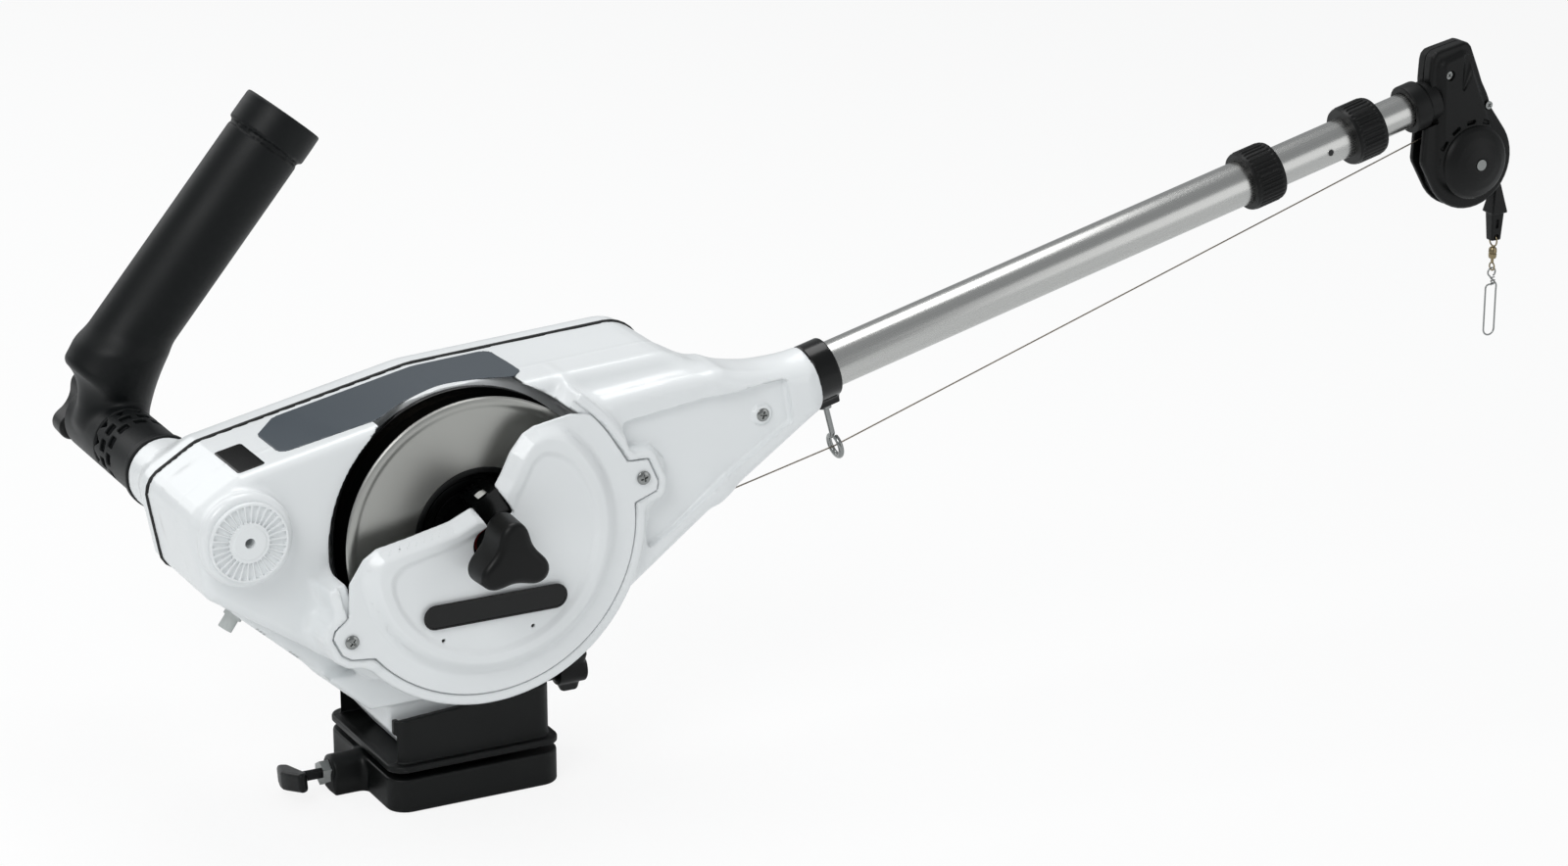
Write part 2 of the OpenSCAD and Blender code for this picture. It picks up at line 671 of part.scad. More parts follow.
module switch_body() {
    color(black) translate([switch_p[0], 0, switch_p[1]]) difference() {
        union() {
            translate([-7, back_y - wall - 18, -10]) cube([14, 18, 20]);
            along_y(back_y - wall - 1, back_y + 3, 6);
        }
        along_y(back_y - 14, back_y - 8, 3.4);
        along_y(back_y - 8.01, back_y + 4, 3.4, 0, 0, 5.2);
    }
}
module switch_lever() {
    color(steel) translate([switch_p[0], 0, switch_p[1]]) union() {
        translate([0, back_y - 10, 0]) sphere(3, $fn = 32);
        along_x(-3.2, 3.2, 1, back_y - 10, 0);
        along_y(back_y - 9, back_y + 15, 1.6, 0, 0, 2.4);
        translate([0, back_y + 15, 0]) sphere(2.8, $fn = 32);
    }
}

// Drive train
module plate_outline() {
    hull() {
        circle(20);
        translate(plate_posts[0]) circle(8);
        translate(plate_posts[1]) circle(8);
        translate(plate_posts[2]) circle(8);
        translate(plate_posts[3]) circle(8);
    }
    hull() {
        translate(idler_c) circle(24);
        translate(pinion_c) circle(motor_r + 2);
        translate(plate_posts[0]) circle(8);
        translate(plate_posts[1]) circle(8);
    }
}
module gear_plate() {
    color(steel) difference() {
        union() {
            translate([0, 0, reel_z]) slab(plate_y, plate_y + plate_t) plate_outline();
            for (p = plate_posts) along_y(wall_y + wall, plate_y + 1, 5, p[0], reel_z + p[1]);
            along_y(gear_y - 6, plate_y + 1, 3.97, idler_c[0], reel_z + idler_c[1]);
        }
        along_y(plate_y - 1, plate_y + plate_t + 1, shaft_r + 3 + run_gap, 0, reel_z);
        along_y(plate_y - 1, plate_y + plate_t + 1, 6, pinion_c[0], reel_z + pinion_c[1]);
    }
}
module motor() {
    y0 = plate_y + plate_t;
    color(black) translate([pinion_c[0], 0, reel_z + pinion_c[1]]) difference() {
        union() {
            along_y(y0, y0 + 3, motor_r);
            along_y(y0 + 3, y0 + motor_l - 8, motor_r - 0.5);
            along_y(y0 + motor_l - 8, y0 + motor_l, motor_r - 5);
        }
        along_y(y0 - 1, y0 + 20, 4 + run_gap);
    }
}
module motor_pinion() {
    color(steel) difference() {
        union() {
            gear(pinion_teeth, drive_module, pinion_dir + 180 + 180 / pinion_teeth, gear_y, gear_y + drive_face, pinion_c, 1);
            along_y(gear_y, plate_y + plate_t + 18, 4, pinion_c[0], reel_z + pinion_c[1]);
        }
    }
}
module idler_gear() {
    color("#d8d3c4") gear(idler_teeth, drive_module, idler_phase, gear_y, gear_y + drive_face, idler_c, 4.02);
}
module main_gear() {
    color("#d8d3c4") gear(main_teeth, drive_module, idler_dir, gear_y, gear_y + drive_face, [0, 0], shaft_r);
}
module drive_shaft() {
    color(steel) union() {
        along_y(rim_y - cover_bulge - 22, plate_y + plate_t + 3, shaft_r, 0, reel_z);
        along_y(reel_rear_y + 2, wall_y - 1.2, 30, 0, reel_z);
    }
}
module shaft_bushes() {
    color("#b08d57") {
        turned([[shaft_r + run_gap, wall_y], [shaft_r + 3, wall_y], [shaft_r + 3, gear_y - 2], [shaft_r + run_gap, gear_y - 2]]);
        turned([[shaft_r + run_gap, plate_y], [shaft_r + 3, plate_y], [shaft_r + 3, plate_y + plate_t],
            [shaft_r + run_gap, plate_y + plate_t]]);
    }
}
module circuit_board() {
    board_y = seam_y - 4;
    color("#2c5b3f") translate([0, board_y, 150]) cube([86, 1.6, 78]);
    color(black) for (p = [[6, 158, 18, 12, 9], [34, 160, 22, 20, 12], [10, 196, 16, 24, 7], [44, 200, 22, 14, 9]])
        translate([p[0], board_y - p[4], p[1]]) cube([p[2], p[4], p[3]]);
    color(white) for (x = [62, 80], z = [156, 222]) along_y(wall_y + wall, board_y, 3, x, z);
}
module clutch_plate() {
    color("#8a6a4a") turned([[shaft_r + 1, reel_rear_y + 0.3], [29, reel_rear_y + 0.3], [29, reel_rear_y + 2], [shaft_r + 1, reel_rear_y + 2]]);
}
washer_y = rim_y - 1;
module spring_washer() {
    color("#8e2a26") turned([[shaft_r + run_gap, washer_y], [10.3, washer_y + 0.5], [10.3, washer_y + 1.6], [shaft_r + run_gap, washer_y + 1.1]]);
}
module clutch_knob() {
    y1 = rim_y - cover_bulge - 8;
    color(black) translate([0, 0, reel_z]) difference() {
        union() {
            along_y(y1 - 28, washer_y - flat_gap, 10);
            for (a = [90, 210, 330]) hull() {
                along_y(y1 - 27, y1, 11, 0, 0, $fn = 40);
                along_y(y1 - 24, y1 - 2, 8.5, 18 * cos(a), 18 * sin(a), $fn = 40);
            }
        }
        along_y(y1 - 15, washer_y + 1, shaft_r + run_gap);
    }
}

// Reel
module reel_front_flange() {
    y0 = reel_front_y;
    color(steel) turned([[dish_r + 0.05, y0], [reel_r - 2.5, y0], [reel_r - 2.5, y0 - 1], [reel_r - 0.5, y0 - 1],
        [reel_r, y0], [reel_r, y0 + front_flange_t], [dish_r + 0.05, y0 + front_flange_t]]);
}
module reel_rear_flange() {
    y1 = reel_rear_y;
    color(black) turned([[20, y1 - rear_flange_t], [reel_r - 6, y1 - rear_flange_t], [reel_r, y1 - rear_flange_t - 1.5],
        [reel_r, y1], [20, y1]]);
}
core_r = wind_r * cos(7.5) - cable_d / 2 - 0.1;
module reel_core() {
    y0 = reel_front_y + front_flange_t;
    y1 = reel_rear_y - rear_flange_t;
    color(dark_grey) turned([[dish_r + 4, y0], [core_r, y0], [core_r, y1], [20, y1], [20, y1 - 5], [dish_r + 4, y1 - 5]]);
}
wind_mid_y = (reel_front_y + front_flange_t + reel_rear_y - rear_flange_t) / 2;
wind_points = [for (i = [0:24 * wind_turns]) let (a = 15 * i)
    [wind_r * cos(a), wind_mid_y + wind_pitch * (i / 24 - wind_turns / 2), reel_z + wind_r * sin(a)]];
// Least distance between neighbouring turns, measured from ring to ring, less the cable's diameter
wind_gap = min([for (i = [0:len(wind_points) - 24], k = [22:24]) if (i + k < len(wind_points))
    norm(wind_points[i] - wind_points[i + k])]) - cable_d;
echo(least_gap_between_turns = wind_gap);
module cable_winding() {
    color("#6b6158") sweep(wind_points, cable_d / 2, 6);
}
module reel_hub() {
    y0 = reel_front_y;
    y1 = reel_rear_y;
    web_y = y0 + 15;
    color(black) difference() {
        union() {
            turned([[dish_r, y0 - 0.8], [dish_r + 3.5, y0 - 0.8], [dish_r + 3.5, y0], [dish_r, y0], [dish_r, y0 + 1],
                [38, web_y + 4], [20, web_y + 4], [20, y1], [shaft_r + run_gap, y1], [shaft_r + run_gap, washer_y + 1.9],
                [9.8, washer_y + 1.9], [9.8, web_y], [27, web_y], [27, web_y - 1.2], [33, web_y - 1.2], [33, web_y],
                [36, web_y]]);
            gear(hub_teeth, counter_module, counter_dir, hub_gear_y, hub_gear_y + hub_gear_t, [0, 0], 9);
        }
    }
}

// Line counter
module counter_case() {
    c = counter_c;
    color(black) translate([c[0], 0, reel_z + c[1]]) difference() {
        union() {
            rotate([0, -30, 0]) translate([-counter_side / 2, counter_front_y, -counter_side / 2])
                cube([counter_side, counter_back_y - counter_front_y, counter_side]);
            for (a = [15, 105, 195, 285]) along_y(counter_front_y - 0.5, counter_front_y + 1, 0.9,
                10.2 * cos(a), 10.2 * sin(a));
        }
        along_y(counter_front_y + 2.5, counter_back_y - 1.5, wheel_r + 0.4);
        along_y(counter_front_y + 1, counter_back_y + 1, 2 + run_gap);
        rotate([0, -30, 0]) translate([-3.5, counter_front_y + 3, 5]) cube([7, 14.6, 6]);
    }
}
module wheel(i) {
    c = counter_c;
    y0 = counter_back_y - 2 - wheel_w * (i + 1) - 0.3 * i;
    color(white) translate([c[0], 0, reel_z + c[1]]) difference() {
        along_y(y0, y0 + wheel_w, wheel_r);
        if (i > 0) along_y(y0 - 1, y0 + wheel_w + 1, 2 + run_gap);
    }
}
module counter_gear() {
    c = counter_c;
    wheel(0);
    color(black) gear(counter_teeth, counter_module, counter_dir + 180 + 180 / counter_teeth, hub_gear_y,
        hub_gear_y + hub_gear_t - 0.5, c, 1);
    color(steel) along_y(counter_front_y + 1.3, hub_gear_y + hub_gear_t, 2, c[0], reel_z + c[1]);
}
module tens_wheel() {
    wheel(1);
}
module hundreds_wheel() {
    wheel(2);
}

// Boom
module boom_collar() {
    color(black) difference() {
        union() {
            on_boom(snout_end) cylinder(h = collar_l, r = snout_r);
            on_boom(snout_end) translate([0, -8, 0]) cube([snout_r + 4, 16, collar_l]);
        }
        on_boom(snout_end - 1) cylinder(h = collar_l + 2, r = tube_od / 2 + run_gap);
        on_boom(eye_s) rotate([0, 90, 0]) cylinder(h = 60, r = 2.4 + run_gap);
    }
}
module eye_bolt() {
    ring_r = 7.5;
    wire_r = 1.9;
    color(steel) union() {
        on_boom(eye_s) rotate([0, 90, 0]) {
            translate([0, 0, tube_od / 2 + 0.5]) cylinder(h = eye_drop - ring_r - tube_od / 2 + 1, r = 2.4);
            translate([0, 0, snout_r + 4.2]) cylinder(h = 3.5, r = 4.6, $fn = 6);
        }
        translate(eye_c) rotate([90, 0, 110]) rotate_extrude($fn = 48) translate([ring_r, 0]) circle(wire_r, $fn = 24);
    }
}
module cable_lead() {
    color("#6b6158") sweep([lead_start, slot_p, eye_c], cable_d / 2, 8);
}
module cable_span() {
    color("#6b6158") sweep([eye_c, span_end], cable_d / 2, 8);
}
module outer_tube() {
    color(steel) boom_ring(tube_start, tube_end, tube_od / 2, tube_ri);
}
module middle_tube() {
    color(steel) difference() {
        boom_ring(middle_start, middle_end, middle_od / 2, middle_ri);
        on_boom(tube_end + 52) rotate([90, 0, 0]) cylinder(h = 40, r = 2.5);
    }
}
module inner_tube() {
    color(steel) boom_ring(inner_start, inner_end, inner_od / 2, inner_od / 2 - tube_wall);
}
// Twist collar: a wide bore on its own tube, then a narrow lip round the sliding tube
module lock_collar(s, own_r, slide_r, stop) {
    color(black) on_boom(s - lock_l / 2) difference() {
        union() {
            cylinder(h = lock_l, r = lock_r - 1);
            translate([0, 0, 2]) cylinder(h = lock_l - 4, r = lock_r - 0.6);
            for (i = [0:35]) rotate([0, 0, 10 * i]) translate([lock_r - 1, 0, lock_l / 2]) cube([2, 1.8, lock_l - 5], center = true);
        }
        translate([0, 0, -1]) cylinder(h = stop - s + lock_l / 2 + 1, r = own_r + run_gap);
        translate([0, 0, -1]) cylinder(h = lock_l + 2, r = slide_r + 0.35);
    }
}
module lock_collar_lower() {
    lock_collar(lower_lock, tube_od / 2, middle_od / 2, tube_end + 0.3);
}
module lock_collar_upper() {
    lock_collar(upper_lock, middle_od / 2, inner_od / 2, middle_end + 0.3);
}

// Pulley head
module boom_neck() {
    color(black) union() {
        boom_ring(neck_start, neck_start + neck_l, 17.5, inner_od / 2);
        boom_ring(neck_start + neck_l, inner_end + 4, 15, inner_od / 2);
        on_boom(inner_end) {
            cylinder(h = 5, r = 15);
            cylinder(h = 40, r = 8);
            translate([0, 0, 24]) cylinder(h = 4, r = 10.5);
        }
    }
}
module head_outline() {
    x = pulley_c[0];
    z = pulley_c[1];
    hull() {
        translate([x - 30, z + 76]) circle(8, $fn = 32);
        translate([x - 13, z + 82]) circle(7, $fn = 32);
        translate([x - 36, z + 4]) circle(6, $fn = 32);
        translate([x - 34, z + 40]) circle(6, $fn = 32);
        translate([x + 2, z + 44]) circle(8, $fn = 32);
    }
    hull() {
        translate([x, z]) circle(pulley_r + 2.5, $fn = 64);
        translate([x - 36, z + 4]) circle(6, $fn = 32);
        translate([x + 24, z + 16]) circle(6, $fn = 32);
        translate([x + 2, z + 44]) circle(8, $fn = 32);
        translate([x - 34, z + 40]) circle(6, $fn = 32);
    }
}
module head_cut() {
    c = pulley_c;
    along_y(boom_y - pulley_w / 2 - 0.6, boom_y + pulley_w / 2 + 0.6, pulley_r + 1, c[0], c[1]);
    slab(boom_y - pulley_w / 2 - 0.6, boom_y + pulley_w / 2 + 0.6) translate([c[0], c[1]]) {
        translate([-60, -60]) square([120, 62]);
        translate([-60, -20]) square([62, 50]);
    }
    on_boom(inner_end + 5.3) {
        translate([0, 0, -30]) cylinder(h = 30, r = 18);
        cylinder(h = 37, r = 8.3);
        translate([0, 0, 18.3]) cylinder(h = 4.8, r = 10.9);
    }
    for (p = head_screw_places) translate([c[0] + p[0], 0, c[1] + p[1]]) {
        along_y(boom_y - head_w, boom_y + head_w, 1.6);
        along_y(boom_y - head_w, boom_y - head_w / 2 + 5, 3.4);
    }
}
head_screw_places = [[-24, 66], [12, 40]];
module head_front() {
    color(black) difference() {
        slab(boom_y - head_w / 2, boom_y) head_outline();
        head_cut();
        along_y(boom_y - head_w, boom_y, pulley_bore + 0.3, pulley_c[0], pulley_c[1]);
        for (a = [20:26:176]) translate([pulley_c[0], boom_y - head_w / 2 - 1, pulley_c[1]]) rotate([0, -a, 0])
            translate([dome_r + 1.5, 0, -3]) cube([2.6, 6, 6]);
    }
}
module head_rear() {
    color(black) difference() {
        slab(boom_y, boom_y + head_w / 2) head_outline();
        head_cut();
        along_y(boom_y, boom_y + head_w, pulley_bore + 0.3, pulley_c[0], pulley_c[1]);
    }
}
module head_screws() {
    c = pulley_c;
    y0 = boom_y - head_w / 2;
    color(steel) {
        for (p = head_screw_places) translate([c[0] + p[0], y0 + 2, c[1] + p[1]]) pan_screw(0, 17, 1.5);
        along_y(y0 - 9, boom_y + head_w / 2 + 2, pulley_bore, c[0], c[1]);
        along_y(boom_y + head_w / 2, boom_y + head_w / 2 + 3, 7, c[0], c[1], $fn = 6);
    }
}
module pulley_cap() {
    c = pulley_c;
    y0 = boom_y - head_w / 2;
    color(black) translate([c[0], 0, c[1]]) difference() {
        rotate([-90, 0, 0]) rotate_extrude($fn = 96) polygon([[0, y0 - 8], [9, y0 - 7.4], [19, y0 - 5], [dome_r - 2, y0 - 2],
            [dome_r, y0], [0, y0]]);
        along_y(y0 - 10, y0 + 1, pulley_bore + run_gap);
    }
}
module pulley() {
    y0 = boom_y - pulley_w / 2;
    y1 = boom_y + pulley_w / 2;
    color(dark_grey) translate([pulley_c[0], 0, pulley_c[1]]) rotate([-90, 0, 0]) rotate_extrude($fn = 96)
        polygon([[pulley_bore + run_gap, y0], [pulley_r, y0], [pulley_r, y0 + 0.6], [groove_r, boom_y - 0.6], [groove_r, boom_y + 0.6],
            [pulley_r, y1 - 0.6], [pulley_r, y1], [pulley_bore + run_gap, y1]]);
}
module cable_drop() {
    color("#6b6158") sweep([[line_x, boom_y, pulley_c[1]], [line_x, boom_y, term_top - 4]], cable_d / 2, 8);
}
term_top = pulley_c[1] - 22;
module line_terminal() {
    color(black) translate([line_x, boom_y, term_top]) difference() {
        union() {
            hull() {
                translate([0, 0, -2]) cube([4, 5, 4], center = true);
                translate([0, 0, -20]) cube([14, 9, 4], center = true);
            }
            hull() {
                translate([0, 0, -25]) cube([11, 7, 8], center = true);
                translate([0, 0, -41]) cube([7, 6, 4], center = true);
            }
        }
        translate([0, 0, -7]) cylinder(h = 8, r = cable_d / 2 + 0.05);
        translate([0, 10, -40]) rotate([90, 0, 0]) cylinder(h = 20, r = 2);
    }
}
module wire_ring(r, w, turn) {
    rotate([90, 0, turn]) rotate_extrude($fn = 40) translate([r, 0]) circle(w, $fn = 20);
}
swivel_z = term_top - 40;
module barrel_swivel() {
    color("#b08d57") translate([line_x, boom_y, swivel_z]) union() {
        translate([0, 0, -3.4]) wire_ring(4.2, 0.6, 90);
        translate([0, 0, -9]) cylinder(h = 2, r = 1.1);
        translate([0, 0, -17]) cylinder(h = 9, r = 3);
        translate([0, 0, -20.5]) cylinder(h = 4, r = 1.1);
        translate([0, 0, -23]) wire_ring(2.8, 0.6, 90);
    }
}
snap_z = swivel_z - 24.3;
function snap_points() = let (w = 4.6, r = 4.6, l = 44) concat(
    [for (a = [-60:30:240]) [3.2 * cos(a), 0, -3.0 + 3.2 * sin(a)]],
    [[w, 0, -12], [w, 0, -18], [w, 0, -l]],
    [for (a = [0:-30:-180]) [r * cos(a), 0, -l - 2 + r * sin(a)]],
    [[-w, 0, -18], [-w, 0, -13.5], [-1, 0, -12.2], [3.2, 0, -12.4]]);
module snap_hook() {
    color(steel) translate([line_x, boom_y, snap_z]) sweep(snap_points(), 0.65, 8);
}

// Rod holder
module rod_arm() {
    color(black) difference() {
        union() {
            on_arm(back_y) cylinder(h = arm_l, r = arm_r);
            on_arm(back_y) cylinder(h = 6, r = arm_r + 2);
        }
        on_arm(back_y - 1) cylinder(h = arm_l + 2, r = hub_pin_r + run_gap);
        for (i = [0:11]) {
            on_arm(arm_end - 19) rotate([0, 0, 30 * i]) translate([arm_r - 3, -4, 0]) cube([5, 8, 8]);
            on_arm(arm_end - 31) rotate([0, 0, 30 * i + 15]) translate([arm_r - 3, -4, 0]) cube([5, 8, 8]);
        }
        for (i = [0:11]) on_arm(arm_end - tooth_l) rotate([0, 0, 30 * i + 15]) rotate([0, 90, 0])
            linear_extrude(arm_r + 2) polygon([[0, 0], [-tooth_l - 1, -5], [-tooth_l - 1, 5]]);
    }
}
module rod_tube() {
    color(black) difference() {
        union() {
            on_arm(hub_start) cylinder(h = hub_l, r = arm_r);
            hull() {
                on_rod(48) cylinder(h = 1, r = rod_r - 0.4, $fn = 64);
                on_arm(rod_y - rod_r + 3) cylinder(h = 2 * rod_r - 6, r = arm_r - 0.5, $fn = 64);
            }
            on_rod(46) cylinder(h = rod_l - 50, r = rod_r);
            on_rod(rod_l - 22) cylinder(h = 22, r = rod_r + 1.8);
        }
        on_rod(40) cylinder(h = rod_l, r = rod_r - rod_wall);
        on_arm(hub_start - 1) cylinder(h = hub_l + 2, r = hub_pin_r + run_gap);
    }
}
module rod_knob() {
    color(black) union() {
        on_arm(back_y + 0.5) cylinder(h = hub_end - back_y + 2, r = hub_pin_r);
        on_arm(hub_end + flat_gap) cylinder(h = 10, r = 12);
        for (a = [30, 150, 270]) hull() {
            on_arm(hub_end + 7) cylinder(h = 24, r = 10, $fn = 32);
            on_arm(hub_end + 10) translate([17 * cos(a), 17 * sin(a), 0]) cylinder(h = 18, r = 9, $fn = 32);
        }
    }
}

lower_base();
pivot_bolt();
plunger_nut();
lock_plunger();
plunger_spring();
swivel_tray();
clamp_knob();
main_frame();
rear_cover();
cover_gasket();
reel_cover();
cover_screws();
nameplate();
labels();
rod_seat();
power_inlet();
switch_body();
switch_lever();
gear_plate();
motor();
motor_pinion();
idler_gear();
main_gear();
drive_shaft();
shaft_bushes();
circuit_board();
clutch_plate();
spring_washer();
clutch_knob();
reel_front_flange();
reel_rear_flange();
reel_core();
cable_winding();
reel_hub();
counter_case();
counter_gear();
tens_wheel();
hundreds_wheel();
boom_collar();
eye_bolt();
cable_lead();
cable_span();
outer_tube();
lock_collar_lower();
middle_tube();
lock_collar_upper();
inner_tube();
boom_neck();
head_front();
head_rear();
head_screws();
pulley_cap();
pulley();
cable_drop();
line_terminal();
barrel_swivel();
snap_hook();
rod_arm();
rod_tube();
rod_knob();
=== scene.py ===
"""Looks of the downrigger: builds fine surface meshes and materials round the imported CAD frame.

Lengths inside this script are millimetres in the row frame (X along the boom, Y away from the reel
cover, Z up) and become metres when a mesh is made. Moulded shapes are described as signed distances
(negative inside) and meshed on a grid; turned shapes and wires are swept from short profiles.
"""

import json
import logging
import math
from collections.abc import Callable, Sequence
from dataclasses import dataclass
from enum import Enum

import bmesh
import bpy
import numpy as np
from mathutils import Matrix, Vector

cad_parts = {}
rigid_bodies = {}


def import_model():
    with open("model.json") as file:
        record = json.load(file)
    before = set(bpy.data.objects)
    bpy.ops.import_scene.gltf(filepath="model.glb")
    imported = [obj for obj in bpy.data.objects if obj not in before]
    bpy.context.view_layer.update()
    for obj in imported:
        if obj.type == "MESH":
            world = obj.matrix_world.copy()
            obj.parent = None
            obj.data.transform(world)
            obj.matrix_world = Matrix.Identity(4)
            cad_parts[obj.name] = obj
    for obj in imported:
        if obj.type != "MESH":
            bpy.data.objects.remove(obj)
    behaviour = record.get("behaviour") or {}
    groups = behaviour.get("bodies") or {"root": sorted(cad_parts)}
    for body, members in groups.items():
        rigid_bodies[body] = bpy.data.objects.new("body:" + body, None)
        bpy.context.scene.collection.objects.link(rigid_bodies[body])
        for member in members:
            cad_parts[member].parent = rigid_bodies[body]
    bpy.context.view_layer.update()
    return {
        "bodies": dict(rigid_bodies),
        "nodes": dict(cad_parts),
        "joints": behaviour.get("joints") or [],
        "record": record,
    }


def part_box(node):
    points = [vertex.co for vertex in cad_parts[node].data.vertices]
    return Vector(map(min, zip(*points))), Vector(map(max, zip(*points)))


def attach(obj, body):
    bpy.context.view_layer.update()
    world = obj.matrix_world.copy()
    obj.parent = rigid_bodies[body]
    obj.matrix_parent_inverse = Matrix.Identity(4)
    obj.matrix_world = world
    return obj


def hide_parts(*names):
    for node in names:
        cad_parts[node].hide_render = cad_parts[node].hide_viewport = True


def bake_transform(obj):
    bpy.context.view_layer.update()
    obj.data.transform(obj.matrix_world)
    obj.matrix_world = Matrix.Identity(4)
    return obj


LOG = logging.getLogger("downrigger")

Array = np.ndarray
Field = Callable[[Array, Array, Array], Array]
Flat = Callable[[Array, Array], Array]
Point = tuple[float, float, float]
Pair = tuple[float, float]

MM = 0.001
GRID_LIMIT = 9_000_000


class Slot(Enum):
    """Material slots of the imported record."""

    WHITE = "white_paint"
    BASE = "base_plastic"
    BLACK = "black_plastic"
    ROD = "rod_plastic"
    GLOSS = "gloss_black"
    RUBBER = "black_rubber"
    PALE = "pale_plastic"
    WHEEL = "white_plastic"
    LABEL = "label_grey"
    STEEL = "screw_steel"
    MOTOR = "motor_steel"
    BRONZE = "bronze"
    BOARD = "board_green"
    CABLE = "cable_steel"
    TUBE = "brushed_tube"
    REEL = "reel_steel"
    GEAR = "gear_plastic"
    LINING = "clutch_lining"
    RED = "red_plastic"


@dataclass(frozen=True)
class Layout:
    """Places shared by many pieces, in millimetres of the row frame.

    Attributes:
        reel_z: Height of the reel's axis.
        rim_y: Front plane of the housing's rim.
        wall_y: Front plane of the body behind the reel.
        seam_y: Plane of the seam between the shells.
        back_y: Back plane of the rear cover.
        boom_y: Plane of the boom's axis.
        boom_lift: Height of the boom's axis above the reel's at station 0.
        tilt: Rise of the boom in degrees.
    """

    reel_z: float = 190.0
    rim_y: float = -83.5
    wall_y: float = -33.0
    seam_y: float = 23.5
    back_y: float = 69.1
    boom_y: float = -53.5
    boom_lift: float = 2.5
    tilt: float = 14.5

    @property
    def boom_direction(self) -> Array:
        """Unit vector along the boom."""
        angle = math.radians(self.tilt)
        return np.array([math.cos(angle), 0.0, math.sin(angle)])

    def on_boom(self, station: float, down: float = 0.0, across: float = 0.0) -> Array:
        """Point beside the boom's axis.

        Args:
            station: Distance along the boom from the reel's axis.
            down: Distance below the axis, square to it.
            across: Distance along Y.

        Returns:
            The point as an array of three numbers.
        """
        b = self.boom_direction
        origin = np.array([0.0, self.boom_y + across, self.reel_z + self.boom_lift])
        return origin + station * b + down * np.array([b[2], 0.0, -b[0]])


L = Layout()
# Places (x, z) of screws and axes.
EAR_LEFT = (-97.0, 138.5)
EAR_RIGHT = (110.0, 215.5)
SNOUT_SCREW = (203.0, 241.0)
REAR_SCREWS = ((-150, 182), (-96, 236), (30, 258), (112, 250), (68, 134), (-78, 130))
NOSE = (-160.0, 214.0)
HEAD = (777.35, 338.0)
COUNTER = (1.03, 213.48)
ARM = (-164.0, 216.0)
# Single places along an axis: rod tube, hanging cable, swivel's pin, and the boom collar's station.
ROD_Y = 171.4
LINE_X = 807.65
SWIVEL_Z = 276.0
COLLAR_S = 262.25


# ---------------------------------------------------------------- distances


def smooth_min(a: Array, b: Array, k: float) -> Array:
    """Smaller of two distances with a fillet of about k where they meet."""
    if k <= 0:
        return np.minimum(a, b)
    h = np.maximum(k - np.abs(a - b), 0.0) / k
    return np.minimum(a, b) - h * h * k * 0.25


def smooth_max(a: Array, b: Array, k: float) -> Array:
    """Larger of two distances with a rounding of about k where they meet."""
    return -smooth_min(-a, -b, k)


def carved(a: Array, b: Array, k: float) -> Array:
    """First distance with the second shape cut out of it."""
    return smooth_max(a, -b, k)


def combined(rule: Callable[[Array, Array, float], Array], k: float, fields: Sequence[Field]) -> Field:
    """Shapes taken together one after another by a rule with fillets of k."""

    def field(x: Array, y: Array, z: Array) -> Array:
        out = fields[0](x, y, z)
        for f in fields[1:]:
            out = rule(out, f(x, y, z), k)
        return out

    return field


def joined(k: float, *fields: Field) -> Field:
    """Union of shapes with fillets of k."""
    return combined(smooth_min, k, fields)


def without(k: float, shape: Field, *cuts: Field) -> Field:
    """Shape with other shapes cut out of it, their edges rounded by k."""
    return combined(carved, k, (shape, *cuts))


def common(k: float, *fields: Field) -> Field:
    """Intersection of shapes with edges rounded by k."""
    return combined(smooth_max, k, fields)


def rounded_pair(a: Array, b: Array, r: float) -> Array:
    """Intersection of two slabs whose shared edge is rounded to radius r."""
    corner = np.hypot(np.maximum(a + r, 0), np.maximum(b + r, 0))
    return np.minimum(np.maximum(a + r, b + r), 0.0) + corner - r


def polygon(points: Sequence[Pair], grow: float = 0.0) -> Flat:
    """Signed distance to a closed polygon, grown outward by a margin.

    Args:
        points: Corners in order.
        grow: Margin that also rounds the outer corners.

    Returns:
        A function of two arrays.
    """
    corners = np.array(points, float)
    nxt = np.roll(corners, -1, axis=0)

    def distance(u: Array, v: Array) -> Array:
        u, v = np.broadcast_arrays(u, v)
        best = np.full(u.shape, 1e18)
        odd = np.zeros(u.shape, bool)
        for (ax, ay), (bx, by) in zip(corners, nxt):
            ex, ey = bx - ax, by - ay
            wx, wy = u - ax, v - ay
            t = np.clip((wx * ex + wy * ey) / (ex * ex + ey * ey), 0.0, 1.0)
            best = np.minimum(best, (wx - ex * t) ** 2 + (wy - ey * t) ** 2)
            crosses = (ay > v) != (by > v)
            if abs(ey) > 1e-12:
                odd ^= crosses & (u < ax + ex * (v - ay) / ey)
        return np.where(odd, -1.0, 1.0) * np.sqrt(best) - grow

    return distance


def hull_outline(circles: Sequence[tuple[float, float, float]]) -> list[Pair]:
    """Corner points of the convex outline round several circles (x, z, radius)."""
    pts: list[Pair] = []
    for x, z, r in circles:
        n = max(12, int(r * 1.2))
        turns = [2 * math.pi * i / n for i in range(n)]
        pts += [(x + r * math.cos(t), z + r * math.sin(t)) for t in turns]
    pts = sorted(set((round(a, 4), round(b, 4)) for a, b in pts))

    def turns_right(a: Pair, b: Pair, c: Pair) -> bool:
        return (b[0] - a[0]) * (c[1] - a[1]) <= (b[1] - a[1]) * (c[0] - a[0])

    def chain(seq: Sequence[Pair]) -> list[Pair]:
        out: list[Pair] = []
        for p in seq:
            while len(out) > 1 and turns_right(out[-2], out[-1], p):
                out.pop()
            out.append(p)
        return out[:-1]

    return chain(pts) + chain(pts[::-1])


def disc(cx: float, cz: float, r: float) -> Flat:
    """Signed distance to a circle."""
    return lambda u, v: np.hypot(u - cx, v - cz) - r


